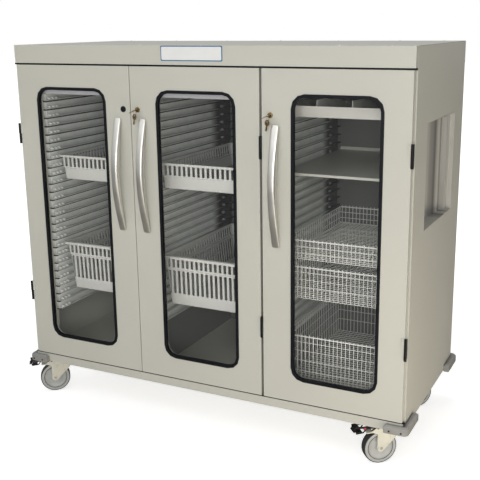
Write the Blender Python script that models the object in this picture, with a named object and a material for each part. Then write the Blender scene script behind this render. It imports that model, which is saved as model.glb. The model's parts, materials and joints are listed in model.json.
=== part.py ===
"""Mobile storage cabinet: three glazed doors, slide-out trays, baskets and a divided rack, on four swivel casters.

Lengths are metres. The cabinet is laid out with x from its middle, y from the face of the closed doors
towards the back and z from the floor; place() then moves everything so that the origin lies on the floor
under the middle of the whole outline.
"""

import math

import bmesh
import bpy
from mathutils import Vector

# Carcass
CABINET_WIDTH = 1.600
CABINET_DEPTH = 0.705
SHEET = 0.0015
SEAT_GAP = 0.0003
PANEL_BOTTOM = 0.177
CARCASS_FRONT = 0.028
BACK_FLANGE = 0.020
OVERRUN = 0.010

# Base
BASE_BOTTOM = 0.1655
BASE_FLOOR = 0.1985
BASE_SIDE_RETURN = 0.120
BASE_END_RETURN = 0.040

# Top
TOP_ABOVE_GUIDES = 0.170
FASCIA_HEIGHT = 0.0685
FASCIA_DEPTH = 0.0265
HEADER_DROP_LEFT = 0.187
HEADER_DROP_RIGHT = 0.163

# Columns of trays
LEFT_POST = 0.0857
RIGHT_POST = 0.0827
DIVIDER_WIDTHS = (0.0354, 0.0624)
RAIL_REACH = 0.014
RAIL_THICKNESS = 0.004
RAIL_PITCH = 0.100 / 3
LOWEST_RAIL_RISE = 0.19787
RAILS_ABOVE = 8
RAILS_BELOW = 19
GUIDE_THICKNESS = 0.015
GUIDE_SHEET = 0.0025
GUIDE_FLANGE = 0.003
GUIDE_FRONT = 0.045
GUIDE_EDGE = 0.0075
GUIDE_TOP_EDGE = 0.00863
POST_LIP = 0.010

# Trays, baskets and rack
TRAY_SIDE_GAP = 0.007
TRAY_FRONTS = (0.084, 0.070)
BASKET_FRONT = 0.100
BASKET_BACK_GAP = 0.0037
TRAY_RIM_HEIGHT = 0.010
TRAY_RIM_OVERHANG = 0.012
TRAY_WALL = 0.0028
TRAY_FLOOR = 0.003
TRAY_SIDE_TAPER_SHARE = 0.105
TRAY_END_TAPER_SHARE = 0.030
SHALLOW_TRAY = 0.100
DEEP_TRAY = 0.200
TRAY_STEP_DROP = 0.053
TRAY_STEP = 0.0025
SLOT_COUNT = 18
SLOT_WIDTH = 0.0085
UPPER_SLOT_TOP_DROP = 0.013
UPPER_SLOT_BOTTOM_DROP = 0.048
LOWER_SLOT_TOP_DROP = 0.059
LOWER_SLOT_BOTTOM_DROP = 0.152
BASKET_WIRE = 0.005
BASKET_RUNNER_WIDTH = 0.010
BASKET_RUNNER = 0.0015
BASKET_END_OPENINGS = 8
BASKET_SIDE_OPENINGS = 6
BASKET_RIM_RISE = 0.0255
BASKET_HEIGHTS = (0.073, 0.121, 0.195)
RACK_BAR_HEIGHT = 0.038
RACK_PLATE_HEIGHT = 0.060
RACK_SHEET = 0.0015
RACK_COMPARTMENTS = 3
HANGING_GAP = 0.0005
SHELF_PLATE = 0.0015
SHELF_EDGE = 0.009
SHELF_UPSTAND = 0.014

# Doors
DOOR_THICKNESS = 0.025
DOOR_FLOOR_GAP = 0.004
DOOR_FASCIA_GAP = 0.0065
DOOR_SIDE_INSET = 0.005
DOOR_PAIR_GAP = 0.003
DOOR_HINGE_GAP = 0.0095
DOOR_BACK_FLANGE = 0.016

# Windows
WINDOW_HINGE_MARGIN = 0.091
WINDOW_HANDLE_MARGIN = 0.1078
WINDOW_TOP_MARGIN = 0.0825
WINDOW_RADIUS = 0.050
WINDOW_CORNER_STEPS = 3
GASKET_LIP = 0.012
GASKET_PROUD = 0.003
GASKET_BACK_PROUD = 0.0015
CUTOUT_INSET = 0.004
GROOVE_INSET = 0.0082
PANE_FRONT = 0.006
PANE_THICKNESS = 0.004
COLLAR_WALL = 0.0025

# Door furniture
HINGE_FROM_DOOR_END = 0.270
HINGE_LENGTH = 0.080
HINGE_AXIS_PROUD = 0.0015
HINGE_BARREL_RADIUS = 0.0045
HINGE_PIN_RADIUS = 0.0022
HINGE_LEAF = 0.002
HINGE_FOOT = 0.022
HINGE_STRAP_WIDTH = 0.012
HINGE_STRAP = 0.0015
HINGE_SIDES = 8
HANDLE_DROP = 0.190
HANDLE_LENGTH = 0.4286
HANDLE_FROM_EDGE = 0.0535
HANDLE_WIDTH = 0.028
HANDLE_REACH = 0.050
HANDLE_END_REACH = 0.010
HANDLE_THICKNESS = 0.008
HANDLE_FOOT = 0.030
HANDLE_ARC_STEPS = 10
LOCK_DROP = 0.157
LOCK_FROM_EDGE = (0.0302, 0.0323)
LOCK_RADIUS = 0.0062
LOCK_FACE_RADIUS = 0.0095
LOCK_FACE = 0.005
LOCK_CAM_FRONT = 0.0257
LOCK_CAM_THICKNESS = 0.0015
LOCK_CAM_WIDTH = 0.010
LOCK_CAM_REACH = 0.035
KEY_WIDTH = 0.020
KEY_LENGTH = 0.024
KEY_THICKNESS = 0.002
LOCK_SIDES = 12
PLUG_RADIUS = 0.0115
PLUG_SHANK = 0.008
PLUG_HEAD = 0.003
PLUG_FROM_EDGE = 0.0303

# Push handle recess
RECESS_FRONT = 0.174
RECESS_BACK = 0.574
RECESS_DROP = 0.257
RECESS_HEIGHT = 0.373
RECESS_DEPTH = 0.075
RECESS_FRONT_SHELF = 0.026
RECESS_STEPS = ((0.490, 0.036), (0.525, 0.017))
RECESS_WALL = 0.0015
RECESS_FLANGE = 0.012

# Corner bumpers
BUMPER_THICKNESS = 0.0217
BUMPER_FRONT_LEG = 0.087
BUMPER_SIDE_LEG = 0.122
BUMPER_LOW = 0.164
BUMPER_HIGH = 0.195
BUMPER_CHAMFER = 0.007
BUMPER_RADIUS = 0.018
BUMPER_CORNER_STEPS = 4

# Casters
CASTER_FROM_SIDE = 0.0675
CASTER_FROM_END = 0.1025
CASTER_HEADING = math.radians(40)
CASTER_PLATE_LENGTH = 0.100
CASTER_PLATE_WIDTH = 0.085
CASTER_PLATE = 0.005
KING_PIN_RADIUS = 0.008
KING_PIN_HEAD_RADIUS = 0.012
KING_PIN_HEAD = 0.003
PIN_SIDES = 10
KING_HOLE_SIDES = 12
WHEEL_RADIUS = 0.0625
WHEEL_TRAIL = 0.050
WHEEL_TREAD_HALF = 0.016
WHEEL_HUB_HALF = 0.0180
WHEEL_WEB_HALF = 0.0100
WHEEL_HUB_RADIUS = 0.016
WHEEL_RIM_INNER = 0.044
WHEEL_RIM_OUTER = 0.048
WHEEL_SHOULDER = 0.003
WHEEL_STEPS = 16
AXLE_RADIUS = 0.006
AXLE_HEAD_RADIUS = 0.010
AXLE_HEAD = 0.002
RUNNING_GAP = 0.0003
FORK_HALF = 0.0215
FORK_SHEET = 0.0025
FORK_TOP_HALF = 0.036
FORK_HOOD_END = -0.088
FORK_HOOD_LOW = 0.128
FORK_FOOT_RADIUS = 0.014
FORK_SHOULDER = 0.118
PEDAL_PIVOT_BACK = 0.062
PEDAL_PIVOT_UNDER_BASE = 0.0245
PEDAL_PIN_RADIUS = 0.004
PEDAL_HALF = 0.018
PEDAL_THICKNESS = 0.005
PEDAL_REACH = 0.155
PEDAL_TIP_UNDER_BUMPER = 0.014
PEDAL_TREAD_DROP = 0.016
PEDAL_TREAD_LENGTH = 0.014
PEDAL_WINDOW_HALF = 0.011
PEDAL_WINDOW_START = 0.022
PEDAL_WINDOW_END = 0.070

# Worked-out sizes
HALF_WIDTH = CABINET_WIDTH / 2
CASTER_SIDE = HALF_WIDTH - CASTER_FROM_SIDE
RAIL_TOP_AT_TRAYS = BASE_FLOOR + LOWEST_RAIL_RISE + RAILS_BELOW * RAIL_PITCH
GUIDE_TOP = RAIL_TOP_AT_TRAYS + RAILS_ABOVE * RAIL_PITCH + GUIDE_TOP_EDGE
CABINET_TOP = GUIDE_TOP + TOP_ABOVE_GUIDES
PLATE_TOP_UNDERSIDE = CABINET_TOP - SHEET
FASCIA_BOTTOM = CABINET_TOP - FASCIA_HEIGHT
HEADER_BOTTOM_LEFT = CABINET_TOP - HEADER_DROP_LEFT
HEADER_BOTTOM_RIGHT = CABINET_TOP - HEADER_DROP_RIGHT
DOOR_BOTTOM = BASE_FLOOR + DOOR_FLOOR_GAP
DOOR_TOP = FASCIA_BOTTOM - DOOR_FASCIA_GAP
HANDLE_HIGH = DOOR_TOP - HANDLE_DROP
HANDLE_LOW = HANDLE_HIGH - HANDLE_LENGTH
LOCK_HEIGHT = DOOR_TOP - LOCK_DROP
RECESS_HIGH = CABINET_TOP - RECESS_DROP
RECESS_LOW = RECESS_HIGH - RECESS_HEIGHT
BACK_PANEL_BACK = CABINET_DEPTH - SHEET - SEAT_GAP
BACK_PANEL_FRONT = BACK_PANEL_BACK - SHEET
GUIDE_BACK = BACK_PANEL_FRONT - SEAT_GAP
GUIDE_BOTTOM = RAIL_TOP_AT_TRAYS - RAILS_BELOW * RAIL_PITCH - RAIL_THICKNESS - GUIDE_EDGE
COLUMN_HALF = (CABINET_WIDTH - LEFT_POST - RIGHT_POST - sum(DIVIDER_WIDTHS)) / 6
COLUMN_1 = LEFT_POST + COLUMN_HALF - HALF_WIDTH
COLUMN_2 = COLUMN_1 + 2 * COLUMN_HALF + DIVIDER_WIDTHS[0]
COLUMN_3 = COLUMN_2 + 2 * COLUMN_HALF + DIVIDER_WIDTHS[1]
COLUMN_CENTRES = (COLUMN_1, COLUMN_2, COLUMN_3)
GUIDE_OUTER_HALF = COLUMN_HALF - SEAT_GAP
RAIL_CLEAR_HALF = GUIDE_OUTER_HALF - GUIDE_THICKNESS
TRAY_HALF_WIDTH = RAIL_CLEAR_HALF - TRAY_SIDE_GAP
TRAY_LENGTH = BACK_PANEL_FRONT - BASKET_BACK_GAP - BASKET_FRONT
BASKET_BODY_HALF = TRAY_HALF_WIDTH - BASKET_RUNNER_WIDTH
HANGING_HALF = RAIL_CLEAR_HALF - RAIL_REACH - HANGING_GAP
DIVIDER_FRONT = CARCASS_FRONT + SHEET + SEAT_GAP
DOOR_WIDTH = (CABINET_WIDTH - 2 * DOOR_SIDE_INSET - DOOR_PAIR_GAP - DOOR_HINGE_GAP) / 3
WINDOW_WIDTH = DOOR_WIDTH - WINDOW_HINGE_MARGIN - WINDOW_HANDLE_MARGIN
DOOR_1_LEFT = DOOR_SIDE_INSET - HALF_WIDTH
DOOR_2_LEFT = DOOR_1_LEFT + DOOR_WIDTH + DOOR_PAIR_GAP
DOOR_3_LEFT = DOOR_2_LEFT + DOOR_WIDTH + DOOR_HINGE_GAP
DOOR_LEFTS = (DOOR_1_LEFT, DOOR_2_LEFT, DOOR_3_LEFT)
HINGE_SIDES_OF_DOORS = (-1, 1, 1)
HINGE_OFFSET = DOOR_HINGE_GAP / 2
PEDAL_PIVOT_HEIGHT = BASE_BOTTOM - PEDAL_PIVOT_UNDER_BASE
PEDAL_TIP_HEIGHT = BUMPER_LOW - PEDAL_TIP_UNDER_BUMPER
PEDAL_SWING = PEDAL_REACH * math.cos(CASTER_HEADING) + PEDAL_HALF * math.sin(CASTER_HEADING)
LEFT_REACH = CASTER_SIDE + PEDAL_SWING
RIGHT_REACH = HALF_WIDTH + SEAT_GAP + BUMPER_THICKNESS
FRONT_REACH = HANDLE_REACH
BACK_REACH = CABINET_DEPTH + SEAT_GAP + BUMPER_THICKNESS
CABINET_SHIFT = Vector(((LEFT_REACH - RIGHT_REACH) / 2, (FRONT_REACH - BACK_REACH) / 2, 0))


def clear_scene():
    for item in list(bpy.data.objects):
        bpy.data.objects.remove(item, do_unlink=True)


def finish(name, colour, roughness, metallic=0.0):
    """A plain painted, moulded or metal finish."""
    material = bpy.data.materials.new(name)
    material.use_nodes = True
    shader = material.node_tree.nodes["Principled BSDF"]
    shader.inputs["Base Color"].default_value = (*colour, 1.0)
    shader.inputs["Roughness"].default_value = roughness
    shader.inputs["Metallic"].default_value = metallic
    material.diffuse_color = (*colour, 1.0)
    return material


def facing_out(shape):
    """Turns the faces of a single closed skin outwards."""
    bmesh.ops.recalc_face_normals(shape, faces=shape.faces)
    return shape


def mesh_object(name, shape, material=None):
    mesh = bpy.data.meshes.new(name)
    shape.to_mesh(mesh)
    shape.free()
    if material:
        mesh.materials.append(material)
    item = bpy.data.objects.new(name, mesh)
    bpy.context.scene.collection.objects.link(item)
    return item


def combine(base, tool, operation):
    """Joins or cuts two closed shapes with the exact solver; both are used up."""
    base_item = mesh_object("base_shape", base)
    tool_item = mesh_object("tool_shape", tool)
    modifier = base_item.modifiers.new("combine", "BOOLEAN")
    modifier.operation = operation
    modifier.solver = "EXACT"
    modifier.object = tool_item
    graph = bpy.context.evaluated_depsgraph_get()
    evaluated = base_item.evaluated_get(graph)
    result = bmesh.new()
    result.from_mesh(evaluated.to_mesh())
    evaluated.to_mesh_clear()
    for item in (base_item, tool_item):
        mesh = item.data
        bpy.data.objects.remove(item, do_unlink=True)
        bpy.data.meshes.remove(mesh)
    return result


def cut(base, tool):
    return combine(base, tool, "DIFFERENCE")


def join(base, tool):
    return combine(base, tool, "UNION")


def common(base, tool):
    return combine(base, tool, "INTERSECT")


def box(low, high):
    shape = bmesh.new()
    bmesh.ops.create_cube(shape, size=1)
    low, high = Vector(low), Vector(high)
    for vertex in shape.verts:
        for axis in range(3):
            middle = (low[axis] + high[axis]) / 2
            vertex.co[axis] = middle + vertex.co[axis] * (high[axis] - low[axis])
    return shape


def prism(outline, axis, low, high):
    """Extrudes a closed outline along x, y or z. The outline holds the two other coordinates, in x, y, z order."""
    shape = bmesh.new()
    places = {"x": lambda u, v: (low, u, v), "y": lambda u, v: (u, low, v), "z": lambda u, v: (u, v, low)}
    face = shape.faces.new([shape.verts.new(places[axis](u, v)) for u, v in outline])
    extruded = bmesh.ops.extrude_face_region(shape, geom=[face])
    moved = [part for part in extruded["geom"] if isinstance(part, bmesh.types.BMVert)]
    travel = Vector([high - low if axis == letter else 0 for letter in "xyz"])
    bmesh.ops.translate(shape, verts=moved, vec=travel)
    return facing_out(shape)


def cylinder(centre, radius, axis, low, high, sides):
    angles = [2 * math.pi * (step + 0.5) / sides for step in range(sides)]
    outline = [(centre[0] + radius * math.cos(a), centre[1] + radius * math.sin(a)) for a in angles]
    return prism(outline, axis, low, high)


def rounded_rectangle(half_width, low, high, radius, centre, steps):
    """Corner points of an upright rounded rectangle, anticlockwise from its right side."""
    corners = ((half_width, high, 0), (-half_width, high, 1), (-half_width, low, 2), (half_width, low, 3))
    points = []
    for reach, level, quarter in corners:
        middle_x = centre + math.copysign(half_width - radius, reach)
        middle_z = level - radius if level == high else level + radius
        for step in range(steps + 1):
            angle = (quarter + step / steps) * math.pi / 2
            points.append((middle_x + radius * math.cos(angle), middle_z + radius * math.sin(angle)))
    return points


def window_outline(centre, inset):
    low = DOOR_BOTTOM + WINDOW_TOP_MARGIN
    high = DOOR_TOP - WINDOW_TOP_MARGIN
    return rounded_rectangle(
        WINDOW_WIDTH / 2 - inset, low + inset, high - inset, WINDOW_RADIUS - inset, centre, WINDOW_CORNER_STEPS
    )


def sheet_outline(path, thickness):
    """Outline of a bent sheet whose one face follows the path; the thickness lies to the left of the path."""
    normals = []
    for (ax, ay), (bx, by) in zip(path, path[1:]):
        length = math.hypot(bx - ax, by - ay)
        normals.append((-(by - ay) / length, (bx - ax) / length))
    inner = []
    for index, (px, py) in enumerate(path):
        before = normals[max(index - 1, 0)]
        after = normals[min(index, len(normals) - 1)]
        share = 1 + before[0] * after[0] + before[1] * after[1]
        inner.append(
            (px + thickness * (before[0] + after[0]) / share, py + thickness * (before[1] + after[1]) / share)
        )
    return list(path) + inner[::-1]


def stack(levels):
    """A closed skin over rectangles (half width, front, back, height) joined one after the other."""
    shape = bmesh.new()
    rings = []
    for half, front, back, height in levels:
        corners = ((-half, front), (half, front), (half, back), (-half, back))
        rings.append([shape.verts.new((x, y, height)) for x, y in corners])
    for lower, upper in zip(rings, rings[1:]):
        for index in range(4):
            following = (index + 1) % 4
            shape.faces.new((lower[index], lower[following], upper[following], upper[index]))
    shape.faces.new(rings[0])
    shape.faces.new(rings[-1])
    return facing_out(shape)


def beside(shape, other):
    """One shape that holds two that do not touch; both are used up."""
    mesh = bpy.data.meshes.new("other_shape")
    other.to_mesh(mesh)
    other.free()
    shape.from_mesh(mesh)
    bpy.data.meshes.remove(mesh)
    return shape


def mirrored(shape):
    bmesh.ops.scale(shape, vec=(-1, 1, 1), verts=shape.verts)
    bmesh.ops.reverse_faces(shape, faces=shape.faces)
    return shape


def moved(shape, offset):
    bmesh.ops.translate(shape, verts=shape.verts, vec=offset)
    return shape


def place(name, shape, material, origin=(0, 0, 0)):
    """Makes the named piece with its own origin, such as a point on its joint's axis."""
    origin = Vector(origin)
    moved(shape, -origin)
    item = mesh_object(name, shape, material)
    item.location = origin + CABINET_SHIFT
    item.data.shade_smooth()
    item.data.set_sharp_from_angle(angle=math.radians(35))
    return item


def base_frame(paint):
    half = HALF_WIDTH - SHEET - SEAT_GAP
    back = BACK_PANEL_BACK
    inside = half - SHEET
    shape = cut(
        box((-half, 0, BASE_BOTTOM), (half, back, BASE_FLOOR)),
        box((-inside, SHEET, BASE_BOTTOM + SHEET), (inside, back - SHEET, BASE_FLOOR - SHEET)),
    )
    opening_half = HALF_WIDTH - BASE_SIDE_RETURN
    opening = box(
        (-opening_half, BASE_END_RETURN, BASE_BOTTOM - OVERRUN),
        (opening_half, back - BASE_END_RETURN, BASE_BOTTOM + SHEET + SEAT_GAP),
    )
    shape = cut(shape, opening)
    for x, y in caster_places():
        shape = join(shape, caster_plate(x, y))
    place("base_frame", shape, paint)


def caster_places():
    ends = (CASTER_FROM_END, CABINET_DEPTH - CASTER_FROM_END)
    return [(side * CASTER_SIDE, y) for y in ends for side in (-1, 1)]


def caster_plate(x, y):
    """A caster's bolted top plate with the king pin that its fork turns on."""
    top = BASE_BOTTOM + SHEET / 2
    plate_bottom = BASE_BOTTOM - CASTER_PLATE
    shape = box(
        (x - CASTER_PLATE_LENGTH / 2, y - CASTER_PLATE_WIDTH / 2, plate_bottom),
        (x + CASTER_PLATE_LENGTH / 2, y + CASTER_PLATE_WIDTH / 2, top),
    )
    head_top = fork_top() - FORK_SHEET - RUNNING_GAP
    pin = cylinder((x, y), KING_PIN_RADIUS, "z", head_top - KING_PIN_HEAD / 2, top - SHEET / 4, PIN_SIDES)
    head = cylinder((x, y), KING_PIN_HEAD_RADIUS, "z", head_top - KING_PIN_HEAD, head_top, PIN_SIDES)
    return join(shape, join(pin, head))


def fork_top():
    return BASE_BOTTOM - CASTER_PLATE - RUNNING_GAP


def post_edge(side):
    """Inner edge of the front post beside an outer column, just clear of the guide that it carries."""
    column = COLUMN_CENTRES[0] if side < 0 else COLUMN_CENTRES[-1]
    return abs(column) + GUIDE_OUTER_HALF + SEAT_GAP


def side_panel(side, paint):
    edge = post_edge(side)
    path = (
        (edge, GUIDE_FRONT + POST_LIP),
        (edge, CARCASS_FRONT),
        (HALF_WIDTH, CARCASS_FRONT),
        (HALF_WIDTH, CABINET_DEPTH),
        (HALF_WIDTH - BACK_FLANGE, CABINET_DEPTH),
    )
    shape = prism(sheet_outline(path, SHEET), "z", PANEL_BOTTOM, PLATE_TOP_UNDERSIDE - SEAT_GAP)
    base_notch = box(
        (0, 0, PANEL_BOTTOM - OVERRUN),
        (HALF_WIDTH - SHEET, CABINET_DEPTH - SHEET, BASE_FLOOR + SEAT_GAP),
    )
    shape = cut(shape, base_notch)
    recess = box(
        (HALF_WIDTH - OVERRUN, RECESS_FRONT, RECESS_LOW),
        (HALF_WIDTH + OVERRUN, RECESS_BACK, RECESS_HIGH),
    )
    shape = cut(shape, recess)
    name = "side_panel_right"
    if side < 0:
        shape = mirrored(shape)
        name = "side_panel_left"
    place(name, shape, paint)


def recess_outline(outset):
    """Plan of the push handle pan: deep behind its front edge, then sloping and stepping out towards the back."""
    face = HALF_WIDTH if outset else HALF_WIDTH + OVERRUN
    deep = HALF_WIDTH - RECESS_DEPTH
    (first_y, first_depth), (second_y, second_depth) = RECESS_STEPS
    return [
        (face, RECESS_FRONT + SEAT_GAP + RECESS_WALL - outset),
        (deep - outset, RECESS_FRONT + SEAT_GAP + RECESS_WALL - outset),
        (deep - outset, RECESS_FRONT + RECESS_FRONT_SHELF),
        (HALF_WIDTH - first_depth - outset, first_y),
        (HALF_WIDTH - first_depth - outset, second_y + outset),
        (HALF_WIDTH - second_depth - outset, second_y + outset),
        (HALF_WIDTH - second_depth - outset, RECESS_BACK - SEAT_GAP - RECESS_WALL + outset),
        (face, RECESS_BACK - SEAT_GAP - RECESS_WALL + outset),
    ]


def push_handle(side, paint):
    low = RECESS_LOW + SEAT_GAP
    high = RECESS_HIGH - SEAT_GAP
    shape = prism(recess_outline(RECESS_WALL), "z", low, high)
    inner_face = HALF_WIDTH - SHEET - SEAT_GAP
    flange = box(
        (inner_face - RECESS_WALL, RECESS_FRONT - RECESS_FLANGE, RECESS_LOW - RECESS_FLANGE),
        (inner_face, RECESS_BACK + RECESS_FLANGE, RECESS_HIGH + RECESS_FLANGE),
    )
    shape = join(shape, flange)
    pocket = prism(recess_outline(0), "z", low + RECESS_WALL, high - RECESS_WALL)
    shape = cut(shape, pocket)
    name = "push_handle_right"
    if side < 0:
        shape = mirrored(shape)
        name = "push_handle_left"
    place(name, shape, paint)


def back_panel(paint):
    half = HALF_WIDTH - SHEET - SEAT_GAP
    shape = box(
        (-half, BACK_PANEL_FRONT, BASE_FLOOR + SEAT_GAP),
        (half, BACK_PANEL_BACK, PLATE_TOP_UNDERSIDE - SEAT_GAP),
    )
    place("back_panel", shape, paint)


def top_cap(paint):
    shape = join(
        box((-HALF_WIDTH, 0, FASCIA_BOTTOM), (HALF_WIDTH, FASCIA_DEPTH, CABINET_TOP)),
        box((-HALF_WIDTH, SHEET, PLATE_TOP_UNDERSIDE), (HALF_WIDTH, CABINET_DEPTH, CABINET_TOP)),
    )
    hollow = box(
        (SHEET - HALF_WIDTH, SHEET, FASCIA_BOTTOM + SHEET),
        (HALF_WIDTH - SHEET, FASCIA_DEPTH + OVERRUN, PLATE_TOP_UNDERSIDE),
    )
    place("top_cap", cut(shape, hollow), paint)


def divider_edges():
    """The sides of the two dividers, each just clear of the guides that it carries."""
    reach = GUIDE_OUTER_HALF + SEAT_GAP
    return [
        (COLUMN_CENTRES[0] + reach, COLUMN_CENTRES[1] - reach),
        (COLUMN_CENTRES[1] + reach, COLUMN_CENTRES[2] - reach),
    ]


def dividers(paint):
    """Two folded dividers, each a channel that is open at the back."""
    for name, (left, right) in zip(("divider_left", "divider_right"), divider_edges()):
        path = ((left, GUIDE_BACK), (left, DIVIDER_FRONT), (right, DIVIDER_FRONT), (right, GUIDE_BACK))
        top = PLATE_TOP_UNDERSIDE - SEAT_GAP
        place(name, prism(sheet_outline(path, SHEET), "z", BASE_FLOOR + SEAT_GAP, top), paint)


def header_panel(paint):
    """The sheet above the columns' openings, which hangs lower over columns one and two."""
    left = SEAT_GAP - post_edge(-1)
    right = post_edge(1) - SEAT_GAP
    step = divider_edges()[1][1]
    top = PLATE_TOP_UNDERSIDE - SEAT_GAP
    outline = (
        (left, HEADER_BOTTOM_LEFT),
        (step, HEADER_BOTTOM_LEFT),
        (step, HEADER_BOTTOM_RIGHT),
        (right, HEADER_BOTTOM_RIGHT),
        (right, top),
        (left, top),
    )
    place("header_panel", prism(outline, "y", CARCASS_FRONT, CARCASS_FRONT + SHEET), paint)


def rail_top(index):
    """Height that a tray rim rests on; index counts downwards from the upper trays' rails."""
    return RAIL_TOP_AT_TRAYS - index * RAIL_PITCH


def guide_shape():
    """A moulded guide for the left of a column centred at x zero: a sheet with a comb of rails and two end flanges."""
    face = -RAIL_CLEAR_HALF
    back_face = face - GUIDE_SHEET
    outline = [(back_face, GUIDE_TOP), (back_face, GUIDE_BOTTOM), (face, GUIDE_BOTTOM)]
    for index in range(RAILS_BELOW, -RAILS_ABOVE - 1, -1):
        top = rail_top(index)
        outline += [
            (face, top - RAIL_THICKNESS),
            (face + RAIL_REACH, top - RAIL_THICKNESS),
            (face + RAIL_REACH, top),
            (face, top),
        ]
    outline.append((face, GUIDE_TOP))
    shape = prism(outline, "y", GUIDE_FRONT, GUIDE_BACK)
    for front, back in (
        (GUIDE_FRONT, GUIDE_FRONT + GUIDE_FLANGE),
        (GUIDE_BACK - GUIDE_FLANGE, GUIDE_BACK),
    ):
        flange = box((-GUIDE_OUTER_HALF, front, GUIDE_BOTTOM), (back_face + GUIDE_SHEET / 2, back, GUIDE_TOP))
        shape = join(shape, flange)
    return shape


def tray_guides(plastic):
    for number, centre in enumerate(COLUMN_CENTRES, start=1):
        place(f"guide_{number}_left", moved(guide_shape(), (centre, 0, 0)), plastic)
        place(f"guide_{number}_right", moved(mirrored(guide_shape()), (centre, 0, 0)), plastic)


def tray_level(drop, inset):
    """A tray wall's half width, front and back at a drop below the rim's underside, moved inwards by the inset."""
    half = TRAY_HALF_WIDTH - TRAY_RIM_OVERHANG - TRAY_SIDE_TAPER_SHARE * drop - inset
    front = TRAY_RIM_OVERHANG + TRAY_END_TAPER_SHARE * drop + inset
    return half, front, TRAY_LENGTH - front


def tray_shape(height):
    """A tapered moulded tray centred at x zero, with its rim's front at y zero and its rim's underside at z zero."""
    body = height - TRAY_RIM_HEIGHT
    step_drop = TRAY_STEP_DROP - TRAY_RIM_HEIGHT
    lower = TRAY_STEP + TRAY_WALL
    return stack(
        [
            (*tray_level(body, TRAY_STEP), -body),
            (*tray_level(step_drop + TRAY_STEP, TRAY_STEP), -step_drop - TRAY_STEP),
            (*tray_level(step_drop, 0), -step_drop),
            (*tray_level(0, 0), 0),
            (TRAY_HALF_WIDTH, 0, TRAY_LENGTH, 0),
            (TRAY_HALF_WIDTH, 0, TRAY_LENGTH, TRAY_RIM_HEIGHT),
            (*tray_level(0, TRAY_WALL), TRAY_RIM_HEIGHT),
            (*tray_level(step_drop, TRAY_WALL), TRAY_WALL - step_drop),
            (*tray_level(step_drop + TRAY_STEP, lower), TRAY_WALL - step_drop - TRAY_STEP),
            (*tray_level(body - TRAY_FLOOR, lower), TRAY_FLOOR - body),
        ]
    )


def slot_row(top_drop, bottom_drop):
    """Cutters for a row of upright slots in a tray's front wall, between two drops below the rim's top."""
    half, front, back = tray_level((top_drop + bottom_drop) / 2, TRAY_STEP)
    pitch = 2 * half / SLOT_COUNT
    row = bmesh.new()
    for number in range(SLOT_COUNT):
        middle = pitch * (number - (SLOT_COUNT - 1) / 2)
        slot = box(
            (middle - SLOT_WIDTH / 2, -OVERRUN, TRAY_RIM_HEIGHT - bottom_drop),
            (middle + SLOT_WIDTH / 2, front + OVERRUN, TRAY_RIM_HEIGHT - top_drop),
        )
        row = beside(row, slot)
    return row


def trays(plastic):
    for column, (centre, front) in enumerate(zip(COLUMN_CENTRES, TRAY_FRONTS), start=1):
        for label, height, index in (("shallow", SHALLOW_TRAY, 0), ("deep", DEEP_TRAY, 11)):
            origin = (centre, front, rail_top(index) + SEAT_GAP)
            shape = cut(tray_shape(height), slot_row(UPPER_SLOT_TOP_DROP, UPPER_SLOT_BOTTOM_DROP))
            if label == "deep":
                shape = cut(shape, slot_row(LOWER_SLOT_TOP_DROP, LOWER_SLOT_BOTTOM_DROP))
            place(f"tray_{column}_{label}", moved(shape, origin), plastic, origin)


def basket_shape(height):
    """A wire basket centred at x zero, with its front at y zero and its side runners' undersides at z zero.

    Its floor of close wires is a plate, and its walls keep only their main bars.
    """
    wall = BASKET_WIRE / 2
    low = BASKET_RIM_RISE - height
    inner = (BASKET_BODY_HALF - wall, wall, TRAY_LENGTH - wall)
    shape = stack(
        [
            (BASKET_BODY_HALF, 0, TRAY_LENGTH, low),
            (BASKET_BODY_HALF, 0, TRAY_LENGTH, BASKET_RIM_RISE),
            (*inner, BASKET_RIM_RISE),
            (*inner, low + wall),
        ]
    )
    runners = box((-TRAY_HALF_WIDTH, 0, 0), (TRAY_HALF_WIDTH, TRAY_LENGTH, BASKET_RUNNER))
    between = BASKET_BODY_HALF - wall / 2
    gap = box((-between, -OVERRUN, -OVERRUN), (between, TRAY_LENGTH + OVERRUN, OVERRUN))
    shape = join(shape, cut(runners, gap))
    end_width = (2 * BASKET_BODY_HALF - BASKET_WIRE) / BASKET_END_OPENINGS
    end_openings = bmesh.new()
    for number in range(BASKET_END_OPENINGS):
        left = end_width * (number - BASKET_END_OPENINGS / 2) + BASKET_WIRE / 2
        opening = box(
            (left, -OVERRUN, low + BASKET_WIRE),
            (left + end_width - BASKET_WIRE, TRAY_LENGTH + OVERRUN, BASKET_RIM_RISE - BASKET_WIRE),
        )
        end_openings = beside(end_openings, opening)
    side_width = (TRAY_LENGTH - BASKET_WIRE) / BASKET_SIDE_OPENINGS
    side_openings = bmesh.new()
    for number in range(BASKET_SIDE_OPENINGS):
        front = side_width * number + BASKET_WIRE
        opening = box(
            (-TRAY_HALF_WIDTH, front, low + BASKET_WIRE),
            (TRAY_HALF_WIDTH, front + side_width - BASKET_WIRE, -BASKET_WIRE),
        )
        side_openings = beside(side_openings, opening)
    return cut(cut(shape, side_openings), end_openings)


def baskets(metal):
    levels = (8, 11, 19)
    names = ("basket_shallow", "basket_medium", "basket_deep")
    for name, height, index in zip(names, BASKET_HEIGHTS, levels):
        origin = (COLUMN_CENTRES[2], BASKET_FRONT, rail_top(index) + SEAT_GAP)
        place(name, moved(basket_shape(height), origin), metal, origin)


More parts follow.
